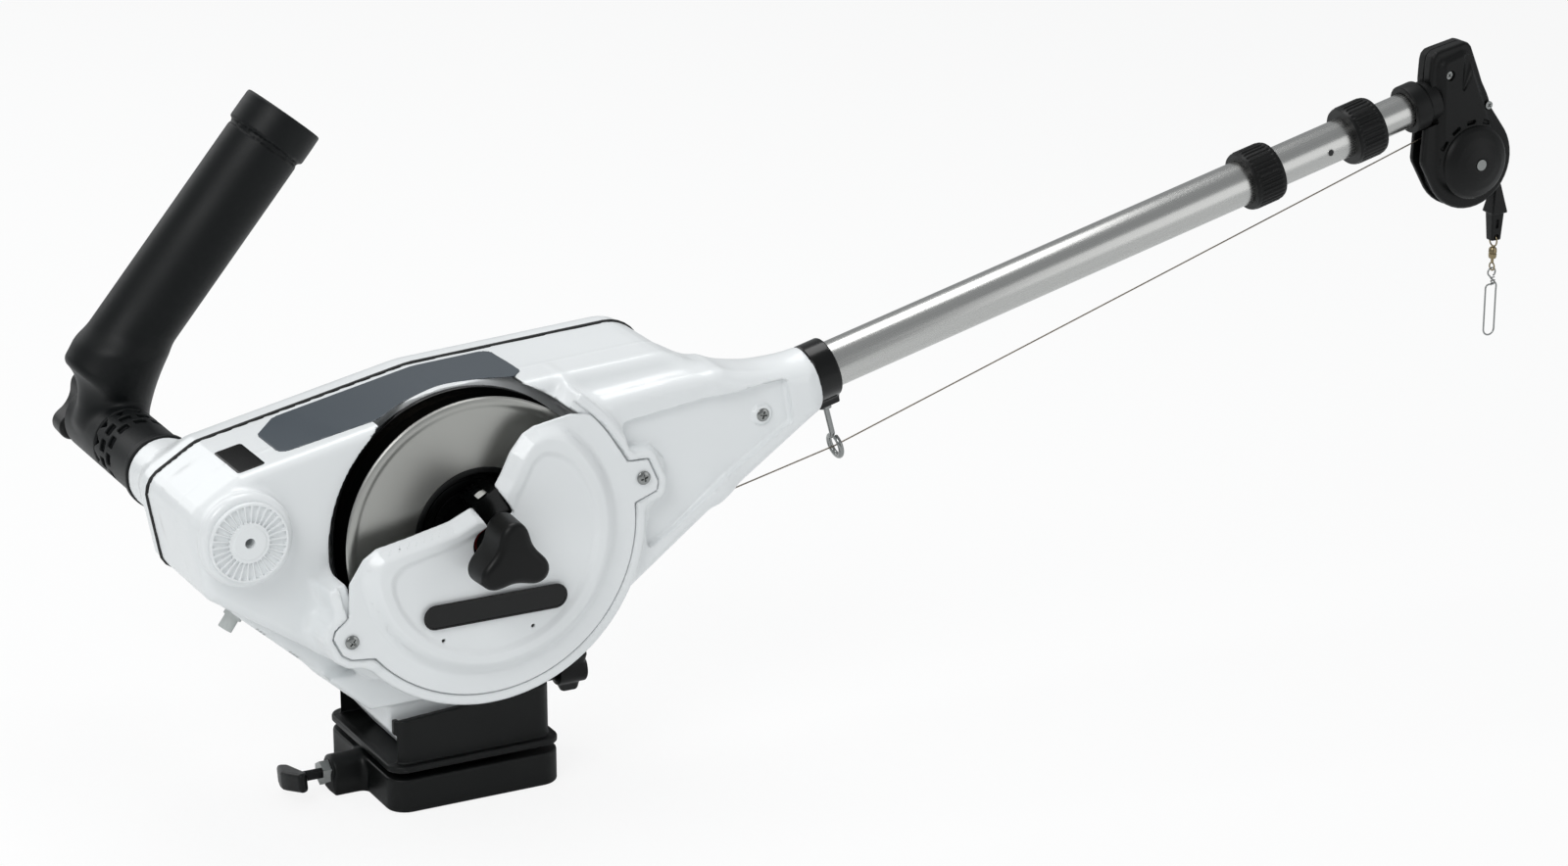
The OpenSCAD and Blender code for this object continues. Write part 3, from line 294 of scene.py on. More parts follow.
def extruded(shape: Flat, y0: float, y1: float, r: float) -> Field:
    """Outline in X and Z extruded along Y, its rims rounded to r."""
    return lambda x, y, z: rounded_pair(shape(x, z), np.abs(y - (y0 + y1) / 2) - (y1 - y0) / 2, r)


def standing(shape: Flat, z0: float, z1: float, r: float) -> Field:
    """Outline in X and Y extruded along Z, its rims rounded to r."""
    return lambda x, y, z: rounded_pair(shape(x, y), np.abs(z - (z0 + z1) / 2) - (z1 - z0) / 2, r)


def plate_flat(cx: float, cy: float, w: float, h: float, r: float) -> Flat:
    """Signed distance to a rectangle with rounded corners."""

    def distance(u: Array, v: Array) -> Array:
        a, b = np.abs(u - cx) - w / 2 + r, np.abs(v - cy) - h / 2 + r
        return np.hypot(np.maximum(a, 0), np.maximum(b, 0)) + np.minimum(np.maximum(a, b), 0) - r

    return distance


def bar(start: Sequence[float], end: Sequence[float], r0: float, r1: float | None = None,
        edge: float = 0.0) -> Field:
    """Round bar or cone between two points, its rims rounded to edge."""
    a, b = np.array(start, float), np.array(end, float)
    length = float(np.linalg.norm(b - a))
    d = (b - a) / length
    r1 = r0 if r1 is None else r1
    lean = length / math.hypot(length, r1 - r0)

    def field(x: Array, y: Array, z: Array) -> Array:
        px, py, pz = x - a[0], y - a[1], z - a[2]
        t = px * d[0] + py * d[1] + pz * d[2]
        off = (px - t * d[0]) ** 2 + (py - t * d[1]) ** 2 + (pz - t * d[2]) ** 2
        r = r0 + (r1 - r0) * np.clip(t / length, 0, 1)
        side = (np.sqrt(np.maximum(off, 1e-12)) - r) * lean
        return rounded_pair(side, np.abs(t - length / 2) - length / 2, edge)

    return field


def placed(field: Field, origin: Sequence[float], axis_x: Sequence[float], axis_z: Sequence[float]) -> Field:
    """Field moved to an origin with its own X and Z axes along two directions."""
    o = np.array(origin, float)
    ux = np.array(axis_x, float) / np.linalg.norm(axis_x)
    uz = np.array(axis_z, float) / np.linalg.norm(axis_z)
    uy = np.cross(uz, ux)

    def moved(x: Array, y: Array, z: Array) -> Array:
        px, py, pz = x - o[0], y - o[1], z - o[2]
        return field(*(px * u[0] + py * u[1] + pz * u[2] for u in (ux, uy, uz)))

    return moved


def box(size: Sequence[float], r: float) -> Field:
    """Box centred on the origin with rounded edges."""
    hx, hy, hz = (s / 2 - r for s in size)

    def field(x: Array, y: Array, z: Array) -> Array:
        a, b, c = np.abs(x) - hx, np.abs(y) - hy, np.abs(z) - hz
        far = np.sqrt(np.maximum(a, 0) ** 2 + np.maximum(b, 0) ** 2 + np.maximum(c, 0) ** 2)
        return far + np.minimum(np.maximum(np.maximum(a, b), c), 0) - r

    return field


def smoothstep(t: Array) -> Array:
    """0 below 0, 1 above 1, with flat ends."""
    t = np.clip(t, 0.0, 1.0)
    return t * t * (3 - 2 * t)


# ---------------------------------------------------------------- meshes


def make_object(name: str, points: Array, faces: Array, normals: Array | None = None) -> bpy.types.Object:
    """Smooth mesh object from points in millimetres.

    Args:
        name: Name of the piece.
        points: Array (n, 3).
        faces: Array (m, 3 or 4) of corner numbers.
        normals: Optional unit normals at the points, used for shading.

    Returns:
        The new object, linked to the scene.
    """
    mesh = bpy.data.meshes.new(name)
    count, width = faces.shape
    mesh.vertices.add(len(points))
    mesh.vertices.foreach_set("co", (points * MM).astype(np.float32).ravel())
    mesh.loops.add(count * width)
    mesh.loops.foreach_set("vertex_index", faces.astype(np.int32).ravel())
    mesh.polygons.add(count)
    mesh.polygons.foreach_set("loop_start", np.arange(0, count * width, width, dtype=np.int32))
    mesh.polygons.foreach_set("use_smooth", np.ones(count, bool))
    mesh.update(calc_edges=True)
    mesh.validate()
    if normals is not None and len(mesh.vertices) == len(normals):
        mesh.normals_split_custom_set_from_vertices(normals.astype(np.float32))
    return link(name, mesh)


def link(name: str, mesh: bpy.types.Mesh) -> bpy.types.Object:
    """Object of a mesh, linked to the scene."""
    obj = bpy.data.objects.new(name, mesh)
    bpy.context.scene.collection.objects.link(obj)
    return obj


def mesh_field(name: str, field: Field, low: Point, high: Point, step: float) -> bpy.types.Object:
    """Meshes the zero surface of a distance field by surface nets.

    Each grid cell that the surface crosses gets one point, the mean of its edge crossings, moved onto
    the surface along the field's slope; each crossed grid edge gets one quad between four cells.

    Args:
        name: Name of the piece.
        field: Signed distance, negative inside.
        low: Lowest corner searched.
        high: Highest corner searched.
        step: Grid spacing.

    Returns:
        The meshed object.
    """
    lo, hi = np.array(low, float) - 1.5 * step, np.array(high, float) + 1.5 * step
    n = np.ceil((hi - lo) / step).astype(int) + 1
    if int(np.prod(n)) > GRID_LIMIT:
        raise ValueError(f"{name}: the grid has {int(np.prod(n))} points")
    x, y, z = (lo[i] + step * np.arange(n[i]) for i in range(3))
    values = field(x[:, None, None], y[None, :, None], z[None, None, :]) + np.zeros(tuple(n))
    values = values.astype(np.float32)
    inside = values < 0
    corners = [(i, j, k) for i in (0, 1) for j in (0, 1) for k in (0, 1)]
    part = {c: tuple(slice(c[a], n[a] - 1 + c[a]) for a in range(3)) for c in corners}
    total = sum(inside[part[c]].astype(np.int8) for c in corners)
    cells = np.argwhere((total > 0) & (total < 8))
    number = np.full(tuple(n - 1), -1, np.int64)
    number[tuple(cells.T)] = np.arange(len(cells))
    acc, hits = np.zeros((len(cells), 3)), np.zeros(len(cells))
    value_at = {c: values[tuple((cells + np.array(c)).T)].astype(float) for c in corners}
    for a in corners:
        for axis in range(3):
            if a[axis]:
                continue
            b = tuple(v + (i == axis) for i, v in enumerate(a))
            va, vb = value_at[a], value_at[b]
            crossed = (va < 0) != (vb < 0)
            t = np.where(crossed, va / np.where(crossed, va - vb, 1), 0)
            place = np.array(a, float)[None, :] + t[:, None] * np.eye(3)[axis][None, :]
            acc += place * crossed[:, None]
            hits += crossed
    points = lo + (cells + acc / hits[:, None]) * step
    points, normals = settle(field, points, step)
    quads = []
    for axis in range(3):
        u, v = [(1, 2), (2, 0), (0, 1)][axis]
        first = [slice(1, n[i] - 1) for i in range(3)]
        second = list(first)
        first[axis], second[axis] = slice(0, n[axis] - 1), slice(1, n[axis])
        a, b = inside[tuple(first)], inside[tuple(second)]
        where = np.argwhere(a != b)
        up = a[tuple(where.T)]
        base = where + np.array([0 if i == axis else 1 for i in range(3)])
        ring = []
        for du, dv in ((0, 0), (1, 0), (1, 1), (0, 1)):
            cell = base.copy()
            cell[:, u] -= du
            cell[:, v] -= dv
            ring.append(number[tuple(cell.T)])
        quad = np.stack(ring, 1)
        quads.append(np.where(up[:, None], quad, quad[:, ::-1]))
    faces = np.concatenate(quads)
    LOG.info("%s: %d points, %d quads", name, len(points), len(faces))
    return make_object(name, points, faces, normals)


def settle(field: Field, points: Array, step: float) -> tuple[Array, Array]:
    """Moves points onto the surface and returns them with their unit normals.

    The slope is found from four samples at the corners of a small tetrahedron.
    """
    corners = np.array([[1, -1, -1], [-1, -1, 1], [-1, 1, -1], [1, 1, 1]], float)
    normal = np.zeros_like(points)
    for turn in range(2):
        e = 0.25 * step
        vals = [field(*(points + e * c).T) for c in corners]
        slope = sum(v[:, None] * c for v, c in zip(vals, corners)) / (4 * e)
        size = np.maximum((slope**2).sum(1), 1e-6)
        normal = slope / np.sqrt(size)[:, None]
        if turn == 0:
            move = (sum(vals) / 4 / size)[:, None] * slope
            reach = np.linalg.norm(move, axis=1)
            points = points - move * np.minimum(1.0, 0.45 * step / np.maximum(reach, 1e-9))[:, None]
    return points, normal


def basis(direction: Sequence[float]) -> tuple[Array, Array, Array]:
    """Two unit vectors square to a direction, and the direction itself."""
    d = np.array(direction, float) / np.linalg.norm(direction)
    side = np.cross(d, [0.0, 1.0, 0.0] if abs(d[1]) < 0.9 else [1.0, 0.0, 0.0])
    side /= np.linalg.norm(side)
    return side, np.cross(d, side), d


def crease(obj: bpy.types.Object, degrees: float = 32.0) -> bpy.types.Object:
    """Shades an object smoothly except over sharp edges."""
    obj.data.shade_smooth()
    obj.data.set_sharp_from_angle(angle=math.radians(degrees))
    return obj


def ring_faces(rows: int, sides: int, closed: bool) -> Array:
    """Quads between neighbouring rings of points, and between the last and the first where closed."""
    i = np.arange(rows if closed else rows - 1)[:, None]
    j = np.arange(sides)[None, :]
    k, nxt = (j + 1) % sides, (i + 1) % rows
    quads = [i * sides + j, i * sides + k, nxt * sides + k, nxt * sides + j]
    return np.stack(quads, -1).reshape(-1, 4)


def lathe(name: str, profile: Sequence[Pair], origin: Sequence[float], axis: Sequence[float],
          sides: int = 96, closed: bool = True,
          ribs: Callable[[Array, Array], Array] | None = None) -> bpy.types.Object:
    """Turned surface.

    Args:
        name: Name of the piece.
        profile: Pairs (radius, distance along the axis).
        origin: Point on the axis at distance 0.
        axis: Direction of the axis.
        sides: Number of segments round.
        closed: Whether the profile's last pair joins its first.
        ribs: Optional extra radius as a function of angle and distance along.

    Returns:
        The object.
    """
    u, v, d = basis(axis)
    prof = np.array(profile, float)
    angle = np.linspace(0, 2 * math.pi, sides, endpoint=False)
    radius, along = prof[:, 0][:, None], prof[:, 1][:, None]
    r = radius + (ribs(angle[None, :], along) * (radius > 0) if ribs else 0.0)
    ring = r[..., None] * (np.cos(angle)[None, :, None] * u + np.sin(angle)[None, :, None] * v)
    points = (np.array(origin, float) + ring + along[..., None] * d).reshape(-1, 3)
    obj = make_object(name, points, ring_faces(len(prof), sides, closed))
    fix_normals(obj)
    return crease(obj)


def fix_normals(obj: bpy.types.Object) -> None:
    """Merges doubled points and turns every face outward."""
    bm = bmesh.new()
    bm.from_mesh(obj.data)
    bmesh.ops.remove_doubles(bm, verts=bm.verts, dist=1e-6)
    bmesh.ops.dissolve_degenerate(bm, dist=1e-7, edges=bm.edges)
    bmesh.ops.recalc_face_normals(bm, faces=bm.faces)
    bm.to_mesh(obj.data)
    bm.free()


def rounded_profile(points: Sequence[Pair], r: float, steps: int = 4) -> list[Pair]:
    """Profile whose corners off the axis are rounded to r."""
    out: list[Pair] = []
    n = len(points)
    for i, p in enumerate(points):
        a, b = np.array(points[i - 1], float), np.array(points[(i + 1) % n], float)
        c = np.array(p, float)
        la, lb = np.linalg.norm(a - c), np.linalg.norm(b - c)
        if c[0] < 1e-6 or la < 1e-6 or lb < 1e-6:
            out.append((float(c[0]), float(c[1])))
            continue
        ua, ub = (a - c) / la, (b - c) / lb
        cut = min(r, 0.45 * la, 0.45 * lb)
        for t in np.linspace(0, 1, steps + 1):
            q = c + ua * cut * (1 - t) ** 2 + ub * cut * t**2
            out.append((float(q[0]), float(q[1])))
    return out


def wire(name: str, path: Sequence[Sequence[float]], r: float, sides: int = 12,
         loop: bool = False) -> bpy.types.Object:
    """Round wire along a path, its rings carried along without twist, its ends closed unless it is a loop."""
    p = np.array(path, float)
    n = len(p)
    ahead = np.roll(p, -1, 0) - np.roll(p, 1, 0)
    if not loop:
        ahead[0], ahead[-1] = p[1] - p[0], p[-1] - p[-2]
    ahead /= np.linalg.norm(ahead, axis=1)[:, None]
    u = basis(ahead[0])[0]
    a = np.linspace(0, 2 * math.pi, sides, endpoint=False)
    rings = []
    for centre, along in zip(p, ahead):
        u = u - (u @ along) * along
        u /= np.linalg.norm(u)
        v = np.cross(along, u)
        rings.append(centre + r * (np.cos(a)[:, None] * u + np.sin(a)[:, None] * v))
    points = np.concatenate(rings)
    faces = ring_faces(n, sides, loop)
    if loop:
        return crease(make_object(name, points, faces), 50)
    points = np.concatenate([points, p[:1], p[-1:]])
    j = np.arange(sides)
    k = (j + 1) % sides
    last = (n - 1) * sides
    head = np.stack([np.full(sides, n * sides), k, j], 1)
    tail = np.stack([np.full(sides, n * sides + 1), last + j, last + k], 1)
    mesh = bpy.data.meshes.new(name)
    mesh.from_pydata((points * MM).tolist(), [], faces.tolist() + head.tolist() + tail.tolist())
    return crease(link(name, mesh), 50)


def spline(points: Sequence[Sequence[float]], per: int) -> Array:
    """Smooth curve through points (Catmull-Rom), with some steps in each span.

    Each span is the cubic whose end slopes come from its neighbours.
    """
    p = np.array(points, float)
    last = len(p) - 1
    out = []
    for i in range(last):
        a, b, c, d = p[max(i - 1, 0)], p[i], p[i + 1], p[min(i + 2, last)]
        square, cube = 2 * a - 5 * b + 4 * c - d, 3 * b - a - 3 * c + d
        out += [0.5 * (2 * b + (c - a) * t + square * t**2 + cube * t**3) for t in np.arange(per) / per]
    return np.array([*out, p[-1]])


# ---------------------------------------------------------------- moulded pieces

# The housing's outline is the hull round circles (x, z, radius).
BODY_CIRCLES = [
    (-174.4, 220, 17), (-150, 232, 19.5), (-170.4, 181, 14), (0, 211, 70), (134.5, 262, 26.5),
    (-68, 75.5, 4), (65, 75.5, 4),
]
BODY_OUTLINE = hull_outline(BODY_CIRCLES)
SHELL_WALL = 3.5
LEDGE_Y = -57.0
REAR_FOOT_Z = 97.5
SNOUT_Y = -76.5
RECESS_Y = -71.6
GASKET_Y = 24.3
SNOUT_OUTLINE = [(52, 262), (92, 133.5), (174, 195), (186, 262), (172, 270), (134, 268), (60, 261)]
KEEL_OUTLINE = [(150, 196), (170, 189), (243, 240), (236, 262), (168, 268)]
RECESS_OUTLINE = [
    (102, 250), (102, 239), (121, 236), (131, 225), (132, 205), (122, 190), (118, 177), (119, 166),
    (136, 176), (173, 205), (206, 226), (221, 235), (217, 261), (160, 257.5),
]
CABLE_WAY = [(88, 122), (108, 126), (138, 168), (160, 190), (160, 207), (88, 207)]
CABLE_SLOT = [(120, 120), (166, 150), (185, 190), (150, 196), (118, 160)]
# Outlines about the reel's axis.
COVER_EARS = (
    ((-80, -20), (-80, -66), (-97, -64), (-103, -60), (-109, -48), (-107, -43), (-98, -35), (-98, -20)),
    ((80, 62), (93, 48), (99, 38), (114, 37), (121, 21), (120, 15), (104, 9), (80, 9)),
)
WINDOW = (
    (-112, 110), (-112, -33), (-98, -33), (-97, -13), (-87, 2), (-78, 8), (-56, 12), (-28, 18), (-13, 24.5),
    (0, 24), (4, 36), (9, 44), (16, 58), (25, 69), (33, 73), (59, 77), (73, 75), (80, 82), (60, 110),
)
DRUM_GAP = [(0, 0), (-140, -20), (-140, 160), (118, 160)]
OPEN_SIDE = [(0, -20), (-150, -12), (-150, 160), (118, 160), (96, 90), (60, 60)]

COVER_R = 104.3
COVER_HALF = 1.25
SCREW_HOLE_R = 2.5
SCREW_SINK = 2.6
BOLT_R = 5.05
BASE_X, BASE_Y = 122.0, 116.0
PLUNGER_Z = 14.5
CLAMP_Z = 54.0
SHAFT_BORE_R = 7.05
ARM_R = 23.5
ARM_BORE_R = 8.05
ARM_END_Y = 137.1
HEAD_SCREWS = ((-24, 66), (12, 40))


def raised(points: Sequence[Pair]) -> list[Pair]:
    """Points given about the reel's axis as points of the row frame."""
    return [(x, z + L.reel_z) for x, z in points]


def pin(x: float, z: float, y0: float, y1: float, r0: float, r1: float | None = None, edge: float = 0.0) -> Field:
    """Round bar or cone along Y between two planes."""
    return bar((x, y0, z), (x, y1, z), r0, r1, edge)


def reel_pin(y0: float, y1: float, r: float, edge: float = 0.0) -> Field:
    """Round bar on the reel's axis."""
    return pin(0, L.reel_z, y0, y1, r, edge=edge)


def post(z0: float, z1: float, r0: float, r1: float | None = None, edge: float = 0.0, at: Pair = (0, 0)) -> Field:
    """Round bar or cone along Z, on the swivel axis unless placed elsewhere."""
    return bar((*at, z0), (*at, z1), r0, r1, edge)


def lying(x0: float, x1: float, z: float, r: float, edge: float = 0.0) -> Field:
    """Round bar along X in the base's middle plane."""
    return bar((x0, 0, z), (x1, 0, z), r, edge=edge)


def block(size: Point, centre: Point, r: float, degrees: float = 0.0) -> Field:
    """Box with rounded edges, turned about Z."""
    a = math.radians(degrees)
    return placed(box(size, r), centre, (math.cos(a), math.sin(a), 0), (0, 0, 1))


def facing(field: Field, centre: Point, degrees: float) -> Field:
    """Field whose X axis leans up from the row frame's X by an angle, its Y axis kept."""
    a = math.radians(degrees)
    return placed(field, centre, (math.cos(a), 0, math.sin(a)), (-math.sin(a), 0, math.cos(a)))


def around(centre: Pair, count: int, x: Array, z: Array, turn: float = 0.0) -> tuple[Array, Array]:
    """Radius about an axis along Y, and the angle from the nearest of some evenly spread spots.

    Args:
        centre: X and Z of the axis.
        count: Number of spots round the axis.
        x: X of the points asked for.
        z: Z of the points asked for.
        turn: Shift of the spots as a part of their spacing.

    Returns:
        Radius and angle.
    """
    dx, dz = x - centre[0], z - centre[1]
    step = 2 * math.pi / count
    return np.hypot(dx, dz), np.abs((np.arctan2(dz, dx) / step + turn) % 1.0 - 0.5) * step


def nose(x: Array, y: Array, z: Array) -> Array:
    """Round nose, wider towards its front."""
    front_r, narrowing, step_y, step_depth = 31.2, 6.0, -68, 14
    middle_y, half_depth, edge = -36, 37, 4.5
    reach = front_r - narrowing * smoothstep((y - step_y) / step_depth)
    return rounded_pair(np.hypot(x - NOSE[0], z - NOSE[1]) - reach, np.abs(y - middle_y) - half_depth, edge)


def front_outside() -> Field:
    """Front shell from outside: body, ledge, nose, snout, drum wall, screw ears, foot and tongue."""
    flat = polygon(BODY_OUTLINE)
    shell = extruded(flat, L.wall_y, L.seam_y + 40, 6)
    ledge_foot_z, wall_edge = 96.0, 2.2
    upper_half = [(x, max(z, ledge_foot_z)) for x, z in BODY_OUTLINE]
    ledge = extruded(polygon(upper_half), LEDGE_Y, L.wall_y + 12, 7)
    snout = joined(
        14,
        extruded(polygon(SNOUT_OUTLINE, 6.5), SNOUT_Y, -26, 9),
        bar(L.on_boom(150), L.on_boom(254), 26, 20.5, 0.8),
    )
    keel = extruded(polygon(KEEL_OUTLINE, 5), SNOUT_Y, -32.5, 9)
    rim, gap = disc(0, L.reel_z, 112), polygon(raised(DRUM_GAP))
    walls = [lambda u, v: smooth_max(rim(u, v), -gap(u, v), 3)]
    walls += [polygon(raised(ear), 6.5) for ear in COVER_EARS]
    drum = joined(5, *[extruded(wall, L.rim_y, L.wall_y + 2, wall_edge) for wall in walls])
    foot_z, tongue_end, tongue_lean = 71.5, -70.0, 0.78
    foot = common(3, extruded(flat, -46, 46, 3), standing(plate_flat(0, 0, 400, 400, 1), foot_z, 99, 1))
    tongue = common(
        0.5,
        joined(2, block((107, 82, 40), (-3, 0, 56), 2), block((107, 95.4, 12), (-3, 0, 39.2), 1.5)),
        lambda x, y, z: (tongue_end + tongue_lean * (foot_z - z) - x) / 1.27,
    )
    body = joined(12, joined(1, shell, ledge), nose)
    body = joined(16, body, joined(8, snout, keel))
    body = joined(7, body, drum)
    body = joined(6, body, foot)
    return joined(3, body, tongue)


def reel_room() -> list[Field]:
    """Pocket that the reel turns in, with a wider step for the cover, and the open side beside it."""
    front, step = L.rim_y - 9, L.rim_y + 2.9
    ears = [extruded(polygon(raised(ear), 0.9), front, step, 0) for ear in COVER_EARS]
    pocket = joined(1.5, reel_pin(-100, L.wall_y, 98.3, edge=1), reel_pin(front, step, 104.9), *ears)
    side = extruded(polygon(raised(OPEN_SIDE)), -100, L.wall_y, 0)
    return [pocket, common(0, side, reel_pin(-100, L.wall_y, 99.5))]


def inlet_bore() -> Field:
    """Slanted hole for the power inlet."""
    return facing(post(-14, 14, 5.1), (-144, 0, 139), -216)


def front_shell() -> Field:
    """Front shell with its recess and screw boss, the reel's room, the cavity and the holes."""
    recess = extruded(polygon(RECESS_OUTLINE, 2.5), -90, RECESS_Y, 2)
    boss = pin(*SNOUT_SCREW, RECESS_Y - 2.2, -60, 7.2, 8.6, 1.2)
    cavity = extruded(polygon(BODY_OUTLINE, -SHELL_WALL), L.wall_y + SHELL_WALL, L.seam_y + 60, 2)
    body = joined(1.2, without(1.6, front_outside(), recess), boss)
    body = without(0.8, body, *reel_room(), cavity)
    holes = [bar(L.on_boom(128), L.on_boom(300), 15.95)]
    holes += [pin(*at, L.rim_y - 9, L.rim_y + 22, SCREW_HOLE_R) for at in (EAR_LEFT, EAR_RIGHT, SNOUT_SCREW)]
    holes += [pin(*NOSE, -90, -24, 3.4), reel_pin(-60, -10, 10.1), post(20, 44, 10.2)]
    holes += [
        extruded(polygon(CABLE_WAY), L.boom_y - 10, L.boom_y + 11, 1),
        extruded(polygon(CABLE_SLOT), L.boom_y - 3, L.boom_y + 9, 1),
        inlet_bore(),
    ]
    return common(0, without(0.4, body, *holes), lambda x, y, z: y - L.seam_y)


def rear_shell() -> Field:
    """Rear cover: a deep lid whose sides lean in towards its back, hollow towards the seam."""
    flat = polygon([(x, max(z, REAR_FOOT_Z)) for x, z in BODY_OUTLINE])
    lean, lean_y, lean_depth = 15.0, 34, 42

    def lid(wall: float) -> Field:
        def field(x: Array, y: Array, z: Array) -> Array:
            inset = lean * smoothstep((y - lean_y) / lean_depth) + wall
            return rounded_pair((flat(x, z) + inset) * 0.93, y - (L.back_y - wall), 6)

        return field

    field = without(0, joined(3, lid(0), pin(*ARM, L.seam_y, L.back_y, 24.4, edge=1)), lid(SHELL_WALL))
    inner, outer = 40, 80
    cuts = [pin(*at, inner, outer, SCREW_HOLE_R) for at in REAR_SCREWS]
    cuts += [pin(*at, L.back_y - SCREW_SINK, outer, 4.9, edge=0.3) for at in REAR_SCREWS]
    cuts += [pin(-48, 232, inner, outer, 6.2)]
    for z in (170, 180, 190, 200):
        cuts.append(extruded(plate_flat(0, z, 150, 2.4, 1.2), L.back_y - 1.2, L.back_y + 9, 0.5))
    return common(0.4, without(0.6, field, *cuts), lambda x, y, z: 25.1 - y)


def cover_flat(u: Array, v: Array) -> Array:
    """Signed distance to the reel cover's outline."""
    disk = disc(0, L.reel_z, COVER_R)(u, v)
    for ear in COVER_EARS:
        disk = np.minimum(disk, polygon(raised(ear))(u, v))
    return smooth_max(disk, -polygon(raised(WINDOW))(u, v), 2)


def cover_height(u: Array, v: Array) -> Array:
    """Rise of the reel cover towards the front: flat rim, sloped band, plateau and a shallow inner dish."""
    rim_r, rise, band, dish, dish_edge = 91.5, 7.9, 12, 2.0, 5
    rim = -disc(0, L.reel_z, rim_r)(u, v)
    lip = polygon(raised(WINDOW))(u, v)
    near = smooth_min(rim, lip * 1.25 + 1.0, 10)
    inner = smooth_min(rim - 16, lip - 12, 18)
    return rise * smoothstep(near / band) - dish * smoothstep(inner / dish_edge)


def reel_cover() -> Field:
    """Pressed cover over the reel, of even thickness, with its openings."""

    def sheet(x: Array, y: Array, z: Array) -> Array:
        middle = L.rim_y + COVER_HALF - cover_height(x, z)
        return rounded_pair(cover_flat(x, z), np.abs(y - middle) * 0.86 - 1.08, 0.7)

    a, side = math.radians(30), 19.4
    square = plate_flat(0, 0, side, side, 0.6)

    def counter_hole(u: Array, v: Array) -> Array:
        p, q = u - COUNTER[0], v - COUNTER[1]
        return square(p * math.cos(a) + q * math.sin(a), -p * math.sin(a) + q * math.cos(a))

    openings = [disc(0, L.reel_z, 13.5), counter_hole, disc(*EAR_LEFT, 2.6), disc(*EAR_RIGHT, 2.6)]
    openings += [disc(-36, 130, 1.3), disc(27, 129, 1.3)]
    return without(0.6, sheet, *[extruded(opening, -110, -70, 0) for opening in openings])


def ribbed_seat() -> Field:
    """Round seat on the nose: a hub with a hole and a ring of radial pockets."""
    pockets, middle_r, half_width, floor_y = 30, 19, 5.6, -74.6

    def cut(x: Array, y: Array, z: Array) -> Array:
        r, angle = around(NOSE, pockets, x, z)
        flat = rounded_pair(angle * r - (0.07 * r + 0.1), np.abs(r - middle_r) - half_width, 0.6)
        return np.maximum(flat, y - floor_y)

    back = -73
    seat = joined(0.6, pin(*NOSE, -76.4, back, 26.3, 26.5, 0.7), pin(*NOSE, -76.9, back, 11, 11.4, 0.6))
    return without(0.5, seat, cut, pin(*NOSE, -80, -70, 3.25))


def lower_base() -> Field:
    """Deck base: a thick plate with four screw holes, the plunger's boss and the disc's pocket."""
    top, above, under = 23.5, 30, -2
    body = joined(
        5,
        standing(plate_flat(0, 0, BASE_X, BASE_Y, 14), 0, top, 1.6),
        lying(-83, -50, PLUNGER_Z, 11.5, edge=1.5),
        block((36, 20, 14.4), (-65, 0, 7.2), 1.5),
    )
    body = common(0.4, body, lambda x, y, z: -z)
    cuts = [post(7.2, above, 38.7), post(under, 12, 5.1), post(under, 5, 10)]
    cuts += [lying(-90, -30, PLUNGER_Z, 3.6), lying(-90, -54, PLUNGER_Z, 6.05)]
    cuts += [post(under, above, 3.5, at=(x, y)) for x in (-48, 48) for y in (-44, 44)]
    return without(0.5, body, *cuts, post(19, above, 52, 54, 0.8))


def swivel_tray() -> Field:
    """Swivel disc with lock notches, its flange and the deep tray that the housing slides into."""
    flange_z, floor_z, room_z = 28, 33, 80
    walls = common(
        1,
        standing(plate_flat(0, 0, BASE_X - 10, BASE_Y - 10, 10), 32, 70, 0.5),
        lambda x, y, z: (z - (66.5 + 0.0625 * x)) * 0.998,
    )
    body = joined(1.5, standing(plate_flat(0, 0, BASE_X, BASE_Y, 12), flange_z, floor_z, 1.4), walls)
    body = joined(1, body, post(7.5, 29, 38, edge=0.6), post(23.8, 29, 46, edge=0.5))
    body = without(0.8, body, standing(plate_flat(-25, 0, 152, 96, 5), floor_z, room_z, 1))
    sides = (-1, 1)
    rails = [block((86, 6.1, 5), (-6, s * 45.1, 48), 0.8) for s in sides]
    stops = [block((4, 5, 10), (-53.6, s * 46, 57.5), 0.8) for s in sides]
    body = joined(0.8, body, *rails, *stops)
    cuts = [post(0, 60, BOLT_R), lying(48, 60, CLAMP_Z, 5.1)]
    notch_ring, ball_ring = 36, 46.6
    for i in range(8):
        a = math.radians(45 * i)
        cuts.append(block((8, 7.6, 13), (-notch_ring * math.cos(a), -notch_ring * math.sin(a), 11.8), 0.3, 45 * i))
    for i in range(60):
        a = math.radians(6 * i)
        cuts.append(post(22, 27.5, 1.0, at=(ball_ring * math.cos(a), ball_ring * math.sin(a))))
    return without(0.3, body, *cuts)


def lock_handle() -> Field:
    """Lock plunger: a pin with a chamfered T handle."""
    lean = math.radians(12)
    grip = common(
        3,
        box((13, 44, 13), 2.5),
        lambda x, y, z: (np.abs(y) * 0.75 + x * 0.95 - 19.5) / 1.2,
        lambda x, y, z: (np.abs(y) * 0.3 - x - 7.2) / 1.05,
    )
    grip = placed(grip, (-111, 0, PLUNGER_Z), (1, 0, 0), (0, math.sin(lean), math.cos(lean)))
    return joined(2.5, lying(-113, -39, PLUNGER_Z, 3.5, edge=0.4), grip)


def wing_knob() -> Field:
    """Clamp knob: a stub with a two-winged grip."""
    a = math.radians(28)
    wing = common(3, box((18, 8.5, 38), 3), lambda x, y, z: (np.abs(z) * 0.5 - x - 13) / 1.12)
    wing = placed(wing, (93, 0, CLAMP_Z), (1, 0, 0), (0, -math.sin(a), math.cos(a)))
    stub = (50.4, 84, 5, 0.4), (56.3, 62, 9, 0.8), (82, 103.5, 9, 1.5)
    return joined(3, *[lying(x0, x1, CLAMP_Z, r, edge=edge) for x0, x1, r, edge in stub], wing)


